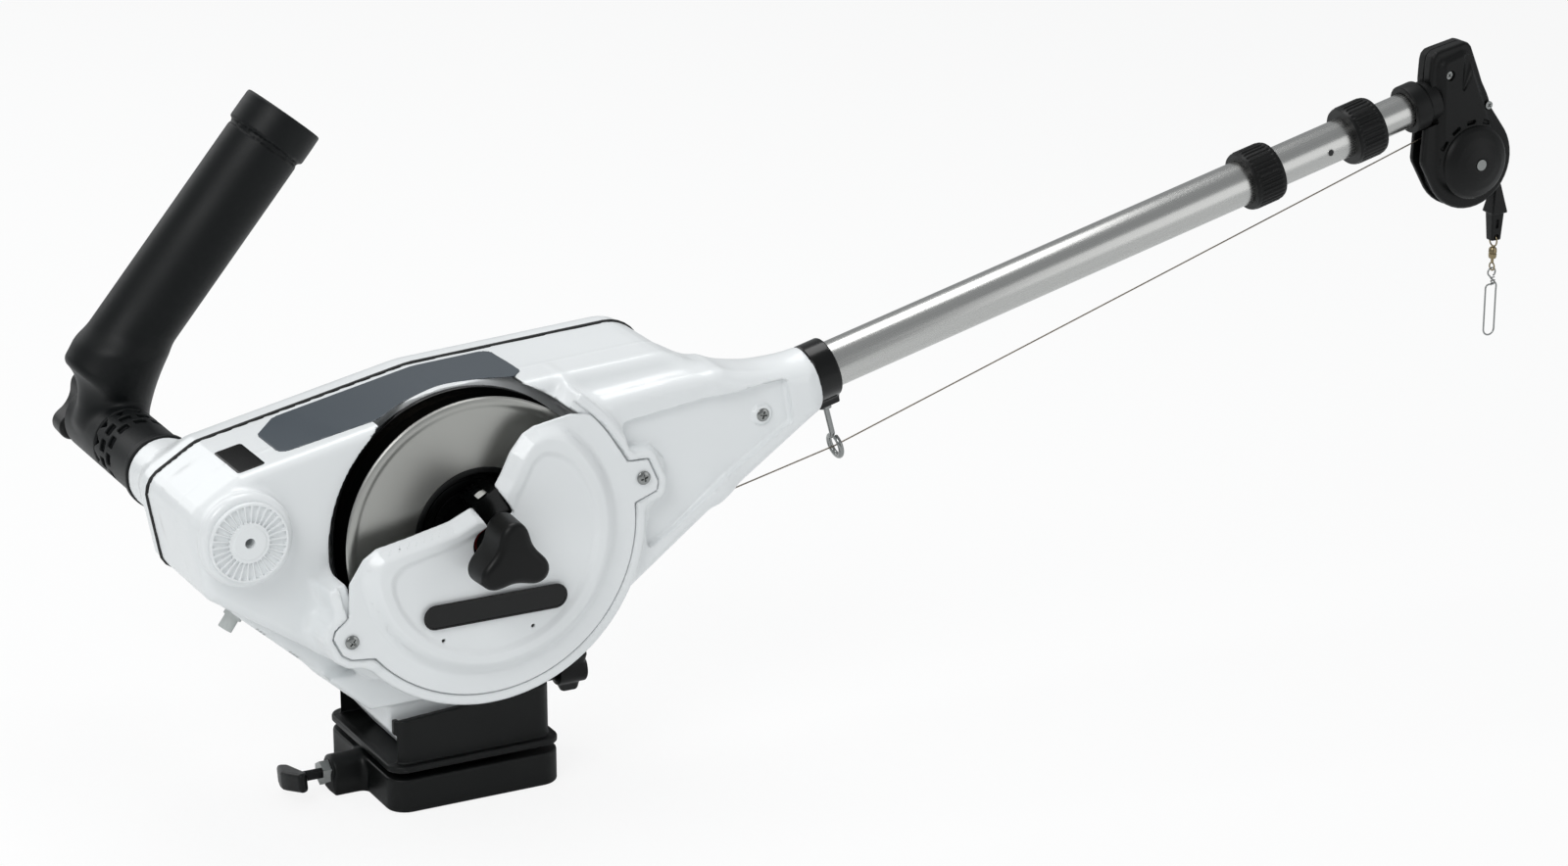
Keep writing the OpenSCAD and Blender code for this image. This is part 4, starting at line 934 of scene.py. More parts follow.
def lobed_knob(centre: Point, axis: Point, core: float, lobe: float, reach: float, depth: float,
               edge: float, turn: float, waist: float) -> Field:
    """Three-lobed hand knob.

    Args:
        centre: Middle of its back face.
        axis: Direction that its front faces.
        core: Radius of its core.
        lobe: Radius of each lobe.
        reach: Distance of a lobe's centre from the axis.
        depth: Thickness.
        edge: Rounding of its rims.
        turn: Angle of the first lobe from the row frame's X, in degrees.
        waist: Fillet between lobes.

    Returns:
        The field.
    """
    angles = [math.radians(turn + 120 * i) for i in range(3)]

    def flat(u: Array, v: Array) -> Array:
        d = np.hypot(u, v) - core
        for a in angles:
            d = smooth_min(d, np.hypot(u - reach * math.cos(a), v - reach * math.sin(a)) - lobe, waist)
        return d

    def field(x: Array, y: Array, z: Array) -> Array:
        crown = 1.5 * np.clip(np.hypot(x, y) / 30, 0, 1) ** 2
        return rounded_pair(flat(x, y) + 0.04 * z, np.abs(z - depth / 2) - depth / 2 + crown, edge)

    return placed(field, centre, (1, 0, 0), axis)


def clutch_knob() -> Field:
    """Clutch knob on the reel's shaft."""
    grip = lobed_knob((0, -99.5, L.reel_z), (0, -1, 0), 15, 9.3, 17.5, 28, 4, 90, 13)
    return without(0.4, joined(2, grip, reel_pin(-101, -84.8, 10, edge=0.5)), reel_pin(-114.5, -80, SHAFT_BORE_R))


def rod_axis(t: float, side: float = 28.0) -> Array:
    """Point on the rod tube's axis at distance t, the axis passing beside the arm's by some distance."""
    c, s = math.cos(math.radians(50)), math.sin(math.radians(50))
    return np.array([ARM[0] + t * c - side * s, ROD_Y, ARM[1] + t * s + side * c])


def rod_tube() -> Field:
    """Rod holder tube with its hub, shoulder and collar."""
    tube = bar(rod_axis(20), rod_axis(236), 27, edge=5)
    web = bar((ARM[0], ROD_Y, ARM[1]), rod_axis(50), 23.4, 26.8, 3)
    collar = bar(rod_axis(218), rod_axis(240), 28.8, edge=1.6)
    body = joined(5, joined(3, joined(14, tube, web), collar), pin(*ARM, 137.4, 198.4, ARM_R, edge=1.2))
    groove = without(0, bar(rod_axis(214.5), rod_axis(217.5), 30), bar(rod_axis(213), rod_axis(219), 26.2))
    return without(0.9, body, bar(rod_axis(64), rod_axis(260), 23.5), pin(*ARM, 130, 205, ARM_BORE_R), groove)


def rod_arm() -> Field:
    """Arm behind the rear cover: pockets in two rows and a ring of teeth."""
    body = joined(2, pin(*ARM, L.back_y, ARM_END_Y, ARM_R, edge=0.8), pin(*ARM, L.back_y, 75.1, 25.5, edge=1))

    def pocket_row(middle: float, turn: float) -> Field:
        def field(x: Array, y: Array, z: Array) -> Array:
            r, angle = around(ARM, 12, x, z, turn)
            return np.maximum(rounded_pair(angle * r - 4, np.abs(y - middle) - 4, 1.2), 20.5 - r)

        return field

    def teeth(x: Array, y: Array, z: Array) -> Array:
        r, angle = around(ARM, 12, x, z)
        return (angle * np.maximum(r, 4) - (y - 129.1) * 0.55) * 0.85

    pockets = joined(0, pocket_row(122.1, 0.0), pocket_row(110.1, 0.5))
    return without(0.5, body, pockets, teeth, pin(*ARM, 60, 140, ARM_BORE_R))


def rod_knob() -> Field:
    """Knob and stud that clamp the rod holder."""
    grip = lobed_knob((ARM[0], 205.4, ARM[1]), (0, 1, 0), 13.5, 9, 17, 24, 3.5, 30, 9)
    return joined(2, grip, pin(*ARM, 198.7, 208.7, 12, edge=0.8), pin(*ARM, 69.6, 201, 8, edge=0.4))


def head_hull(*circles: tuple[float, float, float]) -> Flat:
    """Hull round circles (x, z, radius) placed about the pulley's axis."""
    return polygon(hull_outline([(HEAD[0] + x, HEAD[1] + z, r) for x, z, r in circles]))


def head_flat() -> Flat:
    """Outline of the pulley head in X and Z."""
    upper = head_hull((-30, 76, 8), (-10, 81, 7), (-2, 62, 7), (-34, 40, 6), (4, 44, 8))
    lower = head_hull((0, 0, 35.5), (-36, 4, 6), (24, 16, 6), (2, 44, 8), (-34, 40, 6))
    return lambda u, v: smooth_min(upper(u, v), lower(u, v), 8)


def head_pin(x: float, z: float, y0: float, y1: float, r: float, edge: float = 0.0) -> Field:
    """Round bar along Y, placed about the pulley's axis and the boom's plane."""
    return pin(HEAD[0] + x, HEAD[1] + z, L.boom_y + y0, L.boom_y + y1, r, edge=edge)


def head_shell(front: bool) -> Field:
    """One shell of the pulley head.

    Args:
        front: True for the shell on the cap's side.
    """
    x, z = HEAD
    y = L.boom_y
    crest = head_hull((-26, 72, 5), (-13, 77, 4), (-20, 40, 8), (0, 38, 8), (6, 8, 14), (-8, 4, 20))
    whole = joined(5, extruded(head_flat(), y - 9, y + 9, 3), extruded(crest, y - 13, y + 13, 3.5))
    wheel_room = (disc(x, z, 34), plate_flat(x, z - 29, 120, 62, 0.5), plate_flat(x - 29, z + 5, 62, 50, 0.5))
    cuts = [extruded(flat, y - 4.1, y + 4.1, 0) for flat in wheel_room] + [head_pin(0, 0, -20, 20, 4.3)]
    for start, end, r in ((732, 767.3, 18), (760, 804.3, 8.3), (785.6, 790.4, 10.9)):
        cuts.append(bar(L.on_boom(start), L.on_boom(end), r))
    cuts += [head_pin(*at, -20, 20, 1.6) for at in HEAD_SCREWS]
    if front:
        cuts += [head_pin(*at, -20, -8, 3.4, edge=0.3) for at in HEAD_SCREWS]
        cuts += [arc_slot(a) for a in range(20, 177, 26)]
        cuts.append(bar((x - 7, y - 16.5, z + 78), (x - 12, y - 12.0, z + 54), 7.5, 1.0, 0.5))
    else:
        cuts += [extruded(plate_flat(x - 16, z + 20 + 14 * i, 22, 7, 2), y + 11.2, y + 20, 0.5) for i in range(3)]
    cuts.append(head_pin(30, 27, -20, 20, 2.2))
    sign = 1 if front else -1
    return common(0.3, without(0.5, whole, *cuts), lambda u, v, w: sign * (v - y) + 0.01)


def arc_slot(degrees: float) -> Field:
    """Short slot beside the dome, square to its radius."""
    a, reach = math.radians(degrees), 29.8
    centre = (HEAD[0] + reach * math.cos(a), L.boom_y - 13, HEAD[1] + reach * math.sin(a))
    return facing(box((2.6, 6, 7), 0.5), centre, degrees)


def terminal() -> Field:
    """Line terminal: a wedge over a forked tail."""
    x, y = LINE_X, L.boom_y

    def wedge(z0: float, z1: float, w0: float, w1: float, d0: float, d1: float, r: float) -> Field:
        """Tapered block between two heights, w0 by d0 at its foot and w1 by d1 at its top."""

        def field(px: Array, py: Array, pz: Array) -> Array:
            t = np.clip((z1 - pz) / (z1 - z0), 0, 1)
            a, b = np.abs(px - x) - (w1 + (w0 - w1) * t) / 2, np.abs(py - y) - (d1 + (d0 - d1) * t) / 2
            return rounded_pair(rounded_pair(a, b, r), np.abs(pz - (z0 + z1) / 2) - (z1 - z0) / 2, r)

        return field

    body = joined(1, wedge(294, 316, 13.8, 4.6, 13.6, 5.5, 1.2), wedge(273.2, 296, 8.2, 11, 7, 9, 1))
    notch = block((2.2, 12, 7), (x, y, 286), 0.8)
    return without(0.4, body, post(309, 320, 0.6, at=(x, y)), pin(x, 276, y - 9, y + 9, 2), notch)


def boom_collar() -> Field:
    """Collar on the snout's end, with a block for the eye bolt."""
    c, b = L.on_boom(COLLAR_S), L.boom_direction
    lug = placed(box((24.5, 16, 16.5), 1.2), L.on_boom(COLLAR_S, 12.3), (b[2], 0, -b[0]), b)
    body = joined(3, bar(c - 8.25 * b, c + 8.25 * b, 20.5, edge=1), lug)
    bolt = bar(L.on_boom(COLLAR_S, 10), L.on_boom(COLLAR_S, 40), 2.45)
    return without(0.6, body, bar(c - 12 * b, c + 12 * b, 15.93), bolt)


def tooth_ring() -> Field:
    """Ring of short radial teeth inside the reel's dished hub."""

    def cut(x: Array, y: Array, z: Array) -> Array:
        r, angle = around((0, L.reel_z), 44, x, z)
        return rounded_pair(angle * r - 0.07 * r, y + 53.7, 0.3)

    return without(0.4, without(0, reel_pin(-54.9, -52.3, 26.4, edge=0.5), reel_pin(-60, -50, 20.2)), cut)


def screw_field() -> Field:
    """Pan-head cross screw, its head towards -Y at the origin."""
    dome = 9.0
    head = common(
        0.5,
        pin(0, 0, -2.6, 0, 4.68, edge=0.6),
        lambda x, y, z: np.sqrt(x * x + (y - 6.2) ** 2 + z * z) - dome,
    )
    arms = [facing(box((5.2, 3.0, 1.0), 0.25), (0, -2.4, 0), a) for a in (45, 135)]
    return without(0.25, head, joined(0.2, *arms))


# ---------------------------------------------------------------- materials


def linear(code: str) -> tuple[float, float, float, float]:
    """sRGB hex colour as linear RGBA."""
    parts = [int(code[i : i + 2], 16) / 255 for i in (1, 3, 5)]
    return (*[c / 12.92 if c <= 0.04045 else ((c + 0.055) / 1.055) ** 2.4 for c in parts], 1.0)


def add_node(tree: bpy.types.NodeTree, kind: str, **values: object) -> bpy.types.Node:
    """Adds a shader node and sets its properties or, for names with an underscore prefix, its inputs."""
    node = tree.nodes.new(kind)
    for key, value in values.items():
        if key.startswith("_"):
            node.inputs[key[1:].replace("_", " ")].default_value = value
        else:
            setattr(node, key, value)
    return node


@dataclass(frozen=True)
class Finish:
    """How a material looks.

    Attributes:
        colour: sRGB hex colour.
        roughness: Mean roughness.
        metallic: 1 for bare metal.
        coat: Weight of a clear coat.
        grain: Size of the bump's grain per metre, or 0.
        bump: Height of the grain in metres.
        brushed: Direction of brushing, or None.
        vary: Part of the roughness that varies.
        shade: Darkening of the colour in large soft patches.
        specular: Strength of the surface's own reflection.
    """

    colour: str
    roughness: float
    metallic: float = 0.0
    coat: float = 0.0
    grain: float = 0.0
    bump: float = 0.0
    brushed: tuple[float, float, float] | None = None
    vary: float = 0.15
    shade: float = 0.04
    specular: float = 0.5


BOOM_LINE = tuple(float(v) for v in L.boom_direction)
FINISHES = {
    Slot.WHITE: Finish("#eceff0", 0.3, coat=0.35, grain=900, bump=0.00001, vary=0.1, shade=0.015),
    Slot.BASE: Finish("#0a0c0c", 0.44, grain=2600, bump=0.00002, vary=0.25, specular=0.25),
    Slot.BLACK: Finish("#080909", 0.42, grain=3000, bump=0.000012, vary=0.2, specular=0.24),
    Slot.ROD: Finish("#0b0e0f", 0.46, grain=2400, bump=0.00003, vary=0.15, specular=0.24),
    Slot.GLOSS: Finish("#060707", 0.22, coat=0.1, grain=300, bump=0.000002, vary=0.1, specular=0.3),
    Slot.RUBBER: Finish("#161717", 0.6, grain=2000, bump=0.00001),
    Slot.PALE: Finish("#c6cac8", 0.42, grain=1500, bump=0.00001),
    Slot.WHEEL: Finish("#e8e8e3", 0.4),
    Slot.LABEL: Finish("#454d54", 0.36, coat=0.1, grain=4000, bump=0.000002, vary=0.08, specular=0.35),
    Slot.STEEL: Finish("#959796", 0.2, 1.0, grain=1200, bump=0.000006, vary=0.3),
    Slot.MOTOR: Finish("#24272a", 0.35),
    Slot.BRONZE: Finish("#94876a", 0.26, 1.0, grain=900, bump=0.000006),
    Slot.BOARD: Finish("#1f5a3c", 0.35, coat=0.3),
    Slot.CABLE: Finish("#8d8377", 0.42, 1.0, grain=5000, bump=0.00002),
    Slot.TUBE: Finish("#c2c2c0", 0.27, 1.0, grain=1.0, bump=0.0000012, brushed=BOOM_LINE, vary=0.12),
    Slot.REEL: Finish("#b0b0ac", 0.34, 1.0, grain=2600, bump=0.000012, vary=0.2),
    Slot.GEAR: Finish("#ddd8c8", 0.45),
    Slot.LINING: Finish("#7c5f45", 0.8, grain=2000, bump=0.00003),
    Slot.RED: Finish("#8e2420", 0.4),
}


def make_material(slot: Slot, finish: Finish) -> bpy.types.Material:
    """Procedural material for a slot, on object coordinates."""
    mat = bpy.data.materials.new(slot.value)
    mat.use_nodes = True
    tree = mat.node_tree
    shader = tree.nodes["Principled BSDF"]
    shader.inputs["Metallic"].default_value = finish.metallic
    shader.inputs["Coat Weight"].default_value = finish.coat
    shader.inputs["Coat Roughness"].default_value = 0.08
    shader.inputs["Specular IOR Level"].default_value = finish.specular
    coords = add_node(tree, "ShaderNodeTexCoord").outputs["Object"]
    if finish.brushed:
        turn = math.atan2(finish.brushed[2], finish.brushed[0])
        level = add_node(tree, "ShaderNodeMapping", _Rotation=(0, turn, 0))
        tree.links.new(coords, level.inputs["Vector"])
        stretch = add_node(tree, "ShaderNodeMapping", _Scale=(9, 2600, 2600))
        tree.links.new(level.outputs["Vector"], stretch.inputs["Vector"])
        coords = stretch.outputs["Vector"]
    patches = add_node(tree, "ShaderNodeTexNoise", _Scale=1.0 if finish.brushed else 14.0, _Detail=3.0)
    tree.links.new(coords, patches.inputs["Vector"])
    least, most = (finish.roughness * (1 + s * finish.vary) for s in (-1, 1))
    rough = add_node(tree, "ShaderNodeMapRange", _From_Min=0.3, _From_Max=0.7, _To_Min=least, _To_Max=most)
    tree.links.new(patches.outputs["Fac"], rough.inputs["Value"])
    tree.links.new(rough.outputs["Result"], shader.inputs["Roughness"])
    base = linear(finish.colour)
    ramp = add_node(tree, "ShaderNodeValToRGB")
    dark, light = ramp.color_ramp.elements[0], ramp.color_ramp.elements[1]
    dark.position, light.position = 0.35, 0.65
    dark.color, light.color = (*[c * (1 - finish.shade) for c in base[:3]], 1), base
    tree.links.new(patches.outputs["Fac"], ramp.inputs["Fac"])
    tree.links.new(ramp.outputs["Color"], shader.inputs["Base Color"])
    if finish.bump:
        grain = add_node(tree, "ShaderNodeTexNoise", _Scale=finish.grain, _Detail=2.0)
        tree.links.new(coords, grain.inputs["Vector"])
        bump = add_node(tree, "ShaderNodeBump", _Strength=0.6, _Distance=finish.bump * 4)
        tree.links.new(grain.outputs["Fac"], bump.inputs["Height"])
        tree.links.new(bump.outputs["Normal"], shader.inputs["Normal"])
    return mat


# ---------------------------------------------------------------- the builder

ALONG_Y, ALONG_Z = (0, 1, 0), (0, 0, 1)
CABLE_R = 0.5
WIND_TURNS, WIND_PITCH, WIND_R = 13, 1.55, 66
FLANGE_FACES = (-65.5, -42.5)
LEAD_R, LEAD_Y = 67.4, -47.5
LEAD_SLOT = (158.0, -49.5, 175.0)
EYE = (268.2, L.boom_y, 203.0)
LOCK_HOLE_S, LOCK_HOLE_R = 674, 2.5
DROP_END_Z = 312
# Boom tubes: node, first and last station, outer radius.
TUBES = (
    ("outer_tube", 130, 622, 15.875),
    ("middle_tube", 160, 710, 14.3),
    ("inner_tube", 185, 762, 12.7),
)
TUBE_WALL = 1.2
# Twist collars: node, station, radii on its own tube and on the sliding one, station of its step.
LOCK_COLLARS = (
    ("lock_collar_lower", 620, 15.925, 14.65, 622.3),
    ("lock_collar_upper", 707, 14.35, 13.05, 710.3),
)
# Turned profiles: radius, distance along the axis.
NECK = [
    (12.7, 748), (17.5, 748), (17.5, 760), (15, 762), (15, 771), (11, 772.5), (8, 775), (8, 785.8),
    (10.5, 786.2), (10.5, 790), (8, 790.2), (8, 801), (0, 802), (0, 762.6), (12.7, 762.6),
]
FRONT_FLANGE = [
    (42.05, -67.5), (43, -67.7), (84, -67.5), (86.2, -67.8), (87.2, -68.3), (89.6, -68.4), (91.5, -67.9),
    (92.3, -66.8), (92.1, -65.6), (91.2, -65.5), (42.05, -65.5),
]
REAR_FLANGE = [(20, -42.5), (86.3, -42.5), (92.3, -44), (92.3, -39.5), (20, -39.5)]
HUB = [
    (42, -68.3), (45.5, -68.3), (45.5, -67.5), (42, -67.5), (41.2, -66.3), (38, -48.5), (20, -48.5),
    (20, -39.5), (7.05, -39.5), (7.05, -82.6), (9.8, -82.6), (9.8, -52.5), (27, -52.5), (27, -53.7),
    (33, -53.7), (33, -52.5), (36, -52.5),
]
CLUTCH_TEETH = [(9, -65), (14.9, -65), (14.9, -59.5), (9, -59.5)]
EYE_NUT = [(2.3, 0), (3.9, 0), (4.6, 0.5), (4.6, 3.0), (3.9, 3.5), (2.3, 3.5)]
BARREL = [
    (0, -20.2), (1.1, -20.2), (1.1, -17), (2.3, -16.8), (2.9, -15.8), (3.05, -13.5), (2.6, -12.9),
    (3.05, -12.3), (2.9, -9.8), (2.2, -8.6), (1.1, -8.2), (1.1, -7.4), (0, -7.4),
]
CAP = [(4.05, -8.6), (6, -8.9), (12, -8.1), (19, -6.2), (24.5, -3.4), (26.4, -1.4), (27, 0), (4.05, 0)]
# Bent wire of the snap, between its eye and its lower bend and from there to its clasp.
SNAP_DOWN = [(0.4, 0.5, -8), (2.6, 0.6, -10), (4.6, 0, -13), (4.6, 0, -18), (4.6, 0, -30), (4.6, 0, -42)]
SNAP_UP = [
    (-4.6, 0, -42), (-4.6, 0, -30), (-4.6, 0, -18), (-4.55, 0, -14.5), (-3.4, 0, -12.6), (-1, 0, -12.2),
    (2.4, 0.2, -12.3),
]


def hole_ring(station: float, radius: float, r: float) -> Array:
    """Closed curve where a hole across Y meets a boom tube's near side."""
    turns = np.linspace(0, 2 * math.pi, 40, endpoint=False)
    steps = [(r * math.cos(t), r * math.sin(t)) for t in turns]
    return np.array([L.on_boom(station + s, d, -math.sqrt(radius**2 - d**2)) for s, d in steps])


def lead_start() -> Array:
    """Point where the cable leaves the winding, on the tangent through the housing's slot."""
    dx, dz = LEAD_SLOT[0], LEAD_SLOT[2] - L.reel_z
    t = math.atan2(dz, dx) - math.acos(LEAD_R / math.hypot(dx, dz))
    return np.array((LEAD_R * math.cos(t), LEAD_Y, L.reel_z + LEAD_R * math.sin(t)))


def knurl(angle: Array, along: Array) -> Array:
    """Ribs of a twist collar, fading at both ends."""
    wave = np.clip(np.cos(36 * angle) * 2.2, -1, 1)
    return np.where(np.abs(along) < 10.6, 0.42 * wave * smoothstep((9.6 - np.abs(along)) / 1.2), 0.0)


def clutch_teeth(angle: Array, _along: Array) -> Array:
    """Teeth round the reel's clutch sleeve, the same all along it."""
    return np.clip(np.cos(30 * (angle + math.radians(2.5))) * 1.6, -1, 1)


def eye_points(radius: float, drop: float) -> list[Point]:
    """Ring of a swivel's wire eye, square to X, its centre below the terminal's pin by some distance."""
    z = SWIVEL_Z - drop
    turns = np.linspace(0, 2 * math.pi, 33)[:-1]
    return [(LINE_X, L.boom_y + radius * math.sin(a), z + radius * math.cos(a)) for a in turns]


class Downrigger:
    """Builds every visual piece on the loaded frame."""

    def __init__(self, frame: dict) -> None:
        """Keeps the frame's nodes and makes the materials.
        """
        self.nodes = frame["nodes"]
        self.body_of = {n: b for b, ns in frame["record"]["behaviour"]["bodies"].items() for n in ns}
        self.slot_of = {s["node"]: s["material_slot"] for s in frame["record"]["subparts"]}
        self.materials = {slot.value: make_material(slot, f) for slot, f in FINISHES.items()}

    def add(self, obj: bpy.types.Object, *nodes: str, slot: Slot | None = None,
            body: str | None = None) -> bpy.types.Object:
        """Gives a piece its material, body and the CAD nodes that it stands for.

        Args:
            obj: The piece.
            nodes: CAD nodes it stands for; the first names its slot and body by default.
            slot: Another slot.
            body: Another body, or "blended" to leave the piece without a body.

        Returns:
            The piece.
        """
        name = slot.value if slot else self.slot_of[nodes[0]]
        obj.data.materials.clear()
        obj.data.materials.append(self.materials[name])
        if nodes:
            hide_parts(*nodes)
        if body != "blended":
            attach(obj, body or self.body_of[nodes[0]])
        return obj

    def turned(self, node: str, profile: Sequence[Pair], origin: Sequence[float], axis: Sequence[float],
               sides: int = 96, **options: object) -> None:
        """Adds a lathed skin that stands for one node."""
        self.add(lathe(node + "_skin", profile, origin, axis, sides, **options), node)

    def moulded(self) -> None:
        """Meshes the moulded shells, knobs and blocks."""
        rows: list[tuple[str, Field, Point, Point, float]] = [
            ("main_frame", front_shell(), (-201, -84, 32), (258, 24, 289.5), 2.2),
            ("rear_cover", rear_shell(), (-201, 24, 96), (162, 70, 289.5), 2.2),
            ("reel_cover", reel_cover(), (-110, -92, 85), (122, -80, 275), 1.15),
            ("rod_seat", ribbed_seat(), (-190, -78, 184), (-130, -72, 244), 0.5),
            ("lower_base", lower_base(), (-84, -59, 0), (62, 59, 24), 1.2),
            ("swivel_tray", swivel_tray(), (-62, -59, 7), (62, 59, 71), 1.3),
            ("lock_plunger", lock_handle(), (-119, -24, 4), (-38, 24, 25), 0.8),
            ("clamp_knob", wing_knob(), (50, -15, 33), (105, 15, 75), 0.8),
            ("clutch_knob", clutch_knob(), (-28, -129, 162), (28, -84, 218), 0.85),
            ("rod_tube", rod_tube(), (-215, 136, 188), (20, 202, 450), 1.9),
            ("rod_arm", rod_arm(), (-191, 68, 189), (-137, 140, 243), 0.8),
            ("rod_knob", rod_knob(), (-193, 69, 188), (-135, 231, 246), 1.0),
            ("head_front", head_shell(True), (732, -70, 300), (816, -52.9, 430), 0.9),
            ("head_rear", head_shell(False), (732, -54.1, 300), (816, -39, 430), 0.9),
            ("line_terminal", terminal(), (LINE_X - 8, -60, 272), (LINE_X + 8, -47, 317), 0.45),
            ("boom_collar", boom_collar(), (236, -76, 228), (276, -31, 282), 0.8),
        ]
        for node, field, low, high, step in rows:
            self.add(mesh_field(node + "_skin", field, low, high, step), node)

    def screws(self) -> None:
        """Copies one cross screw to every screw of the covers."""
        seat_y, turn_each = -72.5, 0.5
        base = mesh_field("screw_head", screw_field(), (-5, -3, -5), (5, 0.2, 5), 0.3)
        mesh = base.data
        mesh.materials.append(self.materials[Slot.STEEL.value])
        bpy.data.objects.remove(base)
        places = [(x, L.rim_y, z, 0) for x, z in (EAR_LEFT, EAR_RIGHT)]
        places.append((SNOUT_SCREW[0], seat_y, SNOUT_SCREW[1], 0))
        places += [(x, L.back_y - SCREW_SINK, z, math.pi) for x, z in REAR_SCREWS]
        for i, (x, y, z, turn) in enumerate(places):
            obj = link(f"cover_screw_{i}", mesh)
            place = Matrix.Translation(Vector((x, y, z)) * MM) @ Matrix.Rotation(turn, 4, "Z")
            obj.matrix_world = place @ Matrix.Rotation(turn_each * i, 4, "Y")
            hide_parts("cover_screws")
            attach(obj, "turret")

    def tubes(self) -> None:
        """Turns the boom's tubes, lays the gasket and the lock hole's edge, and puts a dark disc in the lock hole as
        painted shade.
        """
        zero = L.on_boom(0)
        for node, start, end, outer in TUBES:
            inner = outer - TUBE_WALL
            section = [(inner, start), (outer, start), (outer, end), (inner, end)]
            self.turned(node, rounded_profile(section, 0.4, 3), zero, L.boom_direction, 128)
        seam = [(x, GASKET_Y, max(z, REAR_FOOT_Z)) for x, z in BODY_OUTLINE]
        self.add(wire("cover_gasket_skin", seam, 1.25, 8, True), "cover_gasket")
        edge = hole_ring(LOCK_HOLE_S, 14.35, LOCK_HOLE_R)
        ring = wire("middle_tube_hole_skin", edge, 0.28, 10, True)
        self.add(ring, slot=Slot.TUBE, body="middle_boom")
        # The tube is not cut here: a thin black disc stands for the hole, painted shade in place of the dark inside
        # of the hole.
        disk = [(0, 0.0), (2.35, 0.0), (2.35, 0.12), (0, 0.12)]
        dark = lathe("middle_tube_hole_painted_shade", disk, L.on_boom(LOCK_HOLE_S, 0, -14.28), (0, -1, 0), 32)
        self.add(dark, slot=Slot.RUBBER, body="middle_boom")

    def collars(self) -> None:
        """Turns the knurled twist collars and the neck at the boom's end."""
        for node, station, own, slide, stop in LOCK_COLLARS:
            step = stop - station
            knurled = [(21.0, t) for t in np.linspace(10.5, -10.5, 22)]
            outer = [(slide + 5.2, 12), (20.3, 12)] + knurled + [(20.3, -12), (own, -12)]
            profile = [(slide, 12)] + outer + [(own, step), (slide, step)]
            self.turned(node, profile, L.on_boom(station), L.boom_direction, 288, ribs=knurl)
        self.turned("boom_neck", rounded_profile(NECK, 1.0), L.on_boom(0), L.boom_direction)

    def reel(self) -> None:
        """Turns the reel's flanges and hub and winds its cable."""
        centre = (0, 0, L.reel_z)
        self.turned("reel_front_flange", FRONT_FLANGE, centre, ALONG_Y, 192)
        self.turned("reel_rear_flange", rounded_profile(REAR_FLANGE, 0.8), centre, ALONG_Y, 192)
        self.turned("reel_hub", rounded_profile(HUB, 0.5, 2), centre, ALONG_Y, 128)
        teeth = lathe("reel_hub_teeth", CLUTCH_TEETH, centre, ALONG_Y, 240, ribs=clutch_teeth)
        self.add(teeth, slot=Slot.BLACK, body="reel")
        ring = mesh_field("reel_hub_ring", tooth_ring(), (-28, -55.5, 162), (28, -52, 218), 0.6)
        self.add(ring, slot=Slot.BLACK, body="reel")
        t = np.arange(WIND_TURNS * 72 + 1) / 72
        middle = sum(FLANGE_FACES) / 2
        x, z = WIND_R * np.cos(2 * math.pi * t), L.reel_z + WIND_R * np.sin(2 * math.pi * t)
        path = np.stack([x, middle + WIND_PITCH * (t - WIND_TURNS / 2), z], 1)
        self.add(wire("cable_winding_skin", path, CABLE_R, 10), "cable_winding")

    def cables(self) -> None:
        """Lays the cable from the reel through the eye to the pulley and down to the terminal."""
        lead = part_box("cable_lead")
        LOG.info("cable_lead box in millimetres: %s", [round(v / MM, 1) for c in lead for v in c])
        slot, eye = np.array(LEAD_SLOT), np.array(EYE)
        path = np.concatenate([np.linspace(lead_start(), slot, 14), np.linspace(slot, eye, 14)[1:]])
        self.add(wire("cable_lead_skin", path, CABLE_R, 10), "cable_lead")
        top = np.array(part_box("cable_span")[1]) / MM
        end = np.array((top[0], L.boom_y, top[2])) - (0, 0, 0.45)
        middle = (eye + end) / 2
        halves = (
            ("cable_span_near", eye, middle, ("turret", "middle_boom")),
            ("cable_span_far", middle, end, ("middle_boom", "inner_boom")),
        )
        for name, a, b, bodies in halves:
            span = wire(name, np.linspace(a, b, 48), CABLE_R, 10)
            piece = self.add(span, "cable_span", body="blended")
            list(bodies)
            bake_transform(piece)
        drop = [(LINE_X, L.boom_y, z) for z in np.linspace(HEAD[1], DROP_END_Z, 8)]
        self.add(wire("cable_drop_skin", drop, CABLE_R, 10), "cable_drop")

    def eye_bolt(self) -> None:
        """Bends the eye bolt under the boom collar and adds its nut."""
        down = np.array([L.boom_direction[2], 0, -L.boom_direction[0]])
        side = np.array(ALONG_Y, float)
        centre = L.on_boom(COLLAR_S, 57)
        eye_r, steps = 7.5, 40
        shank = [L.on_boom(COLLAR_S, d) for d in (16.4, 22, 30, 38, 45)] + [centre - down * 9.2]
        turns = np.linspace(0.12, 2 * math.pi - 0.35, steps)
        ring = [centre + eye_r * (-down * math.cos(a) + side * math.sin(a)) for a in turns]
        lift = np.cross(down, side) * 1.1
        ring = [p + lift * (i / (steps - 1) - 0.5) for i, p in enumerate(ring)]
        path = np.concatenate([spline(shank, 6)[:-1], np.array(ring)])
        self.add(wire("eye_bolt_skin", path, 1.95, 16), "eye_bolt")
        nut = lathe("eye_bolt_nut", EYE_NUT, L.on_boom(COLLAR_S, 24.7), down, 6)
        self.add(nut, slot=Slot.STEEL, body="turret")

    def fittings(self) -> None:
        """Makes the eye bolt, barrel swivel, snap and the pulley's cap."""
        self.eye_bolt()
        x, y = LINE_X, L.boom_y
        self.turned("barrel_swivel", BARREL, (x, y, SWIVEL_Z), ALONG_Z, 48, closed=False)
        for name, radius, below in (("swivel_eye_top", 4.2, 3.4), ("swivel_eye_low", 2.8, 23)):
            eye = wire(name, eye_points(radius, below), 0.6, 10, True)
            self.add(eye, slot=Slot.BRONZE, body="swivel")
        top = SWIVEL_Z - 24.3

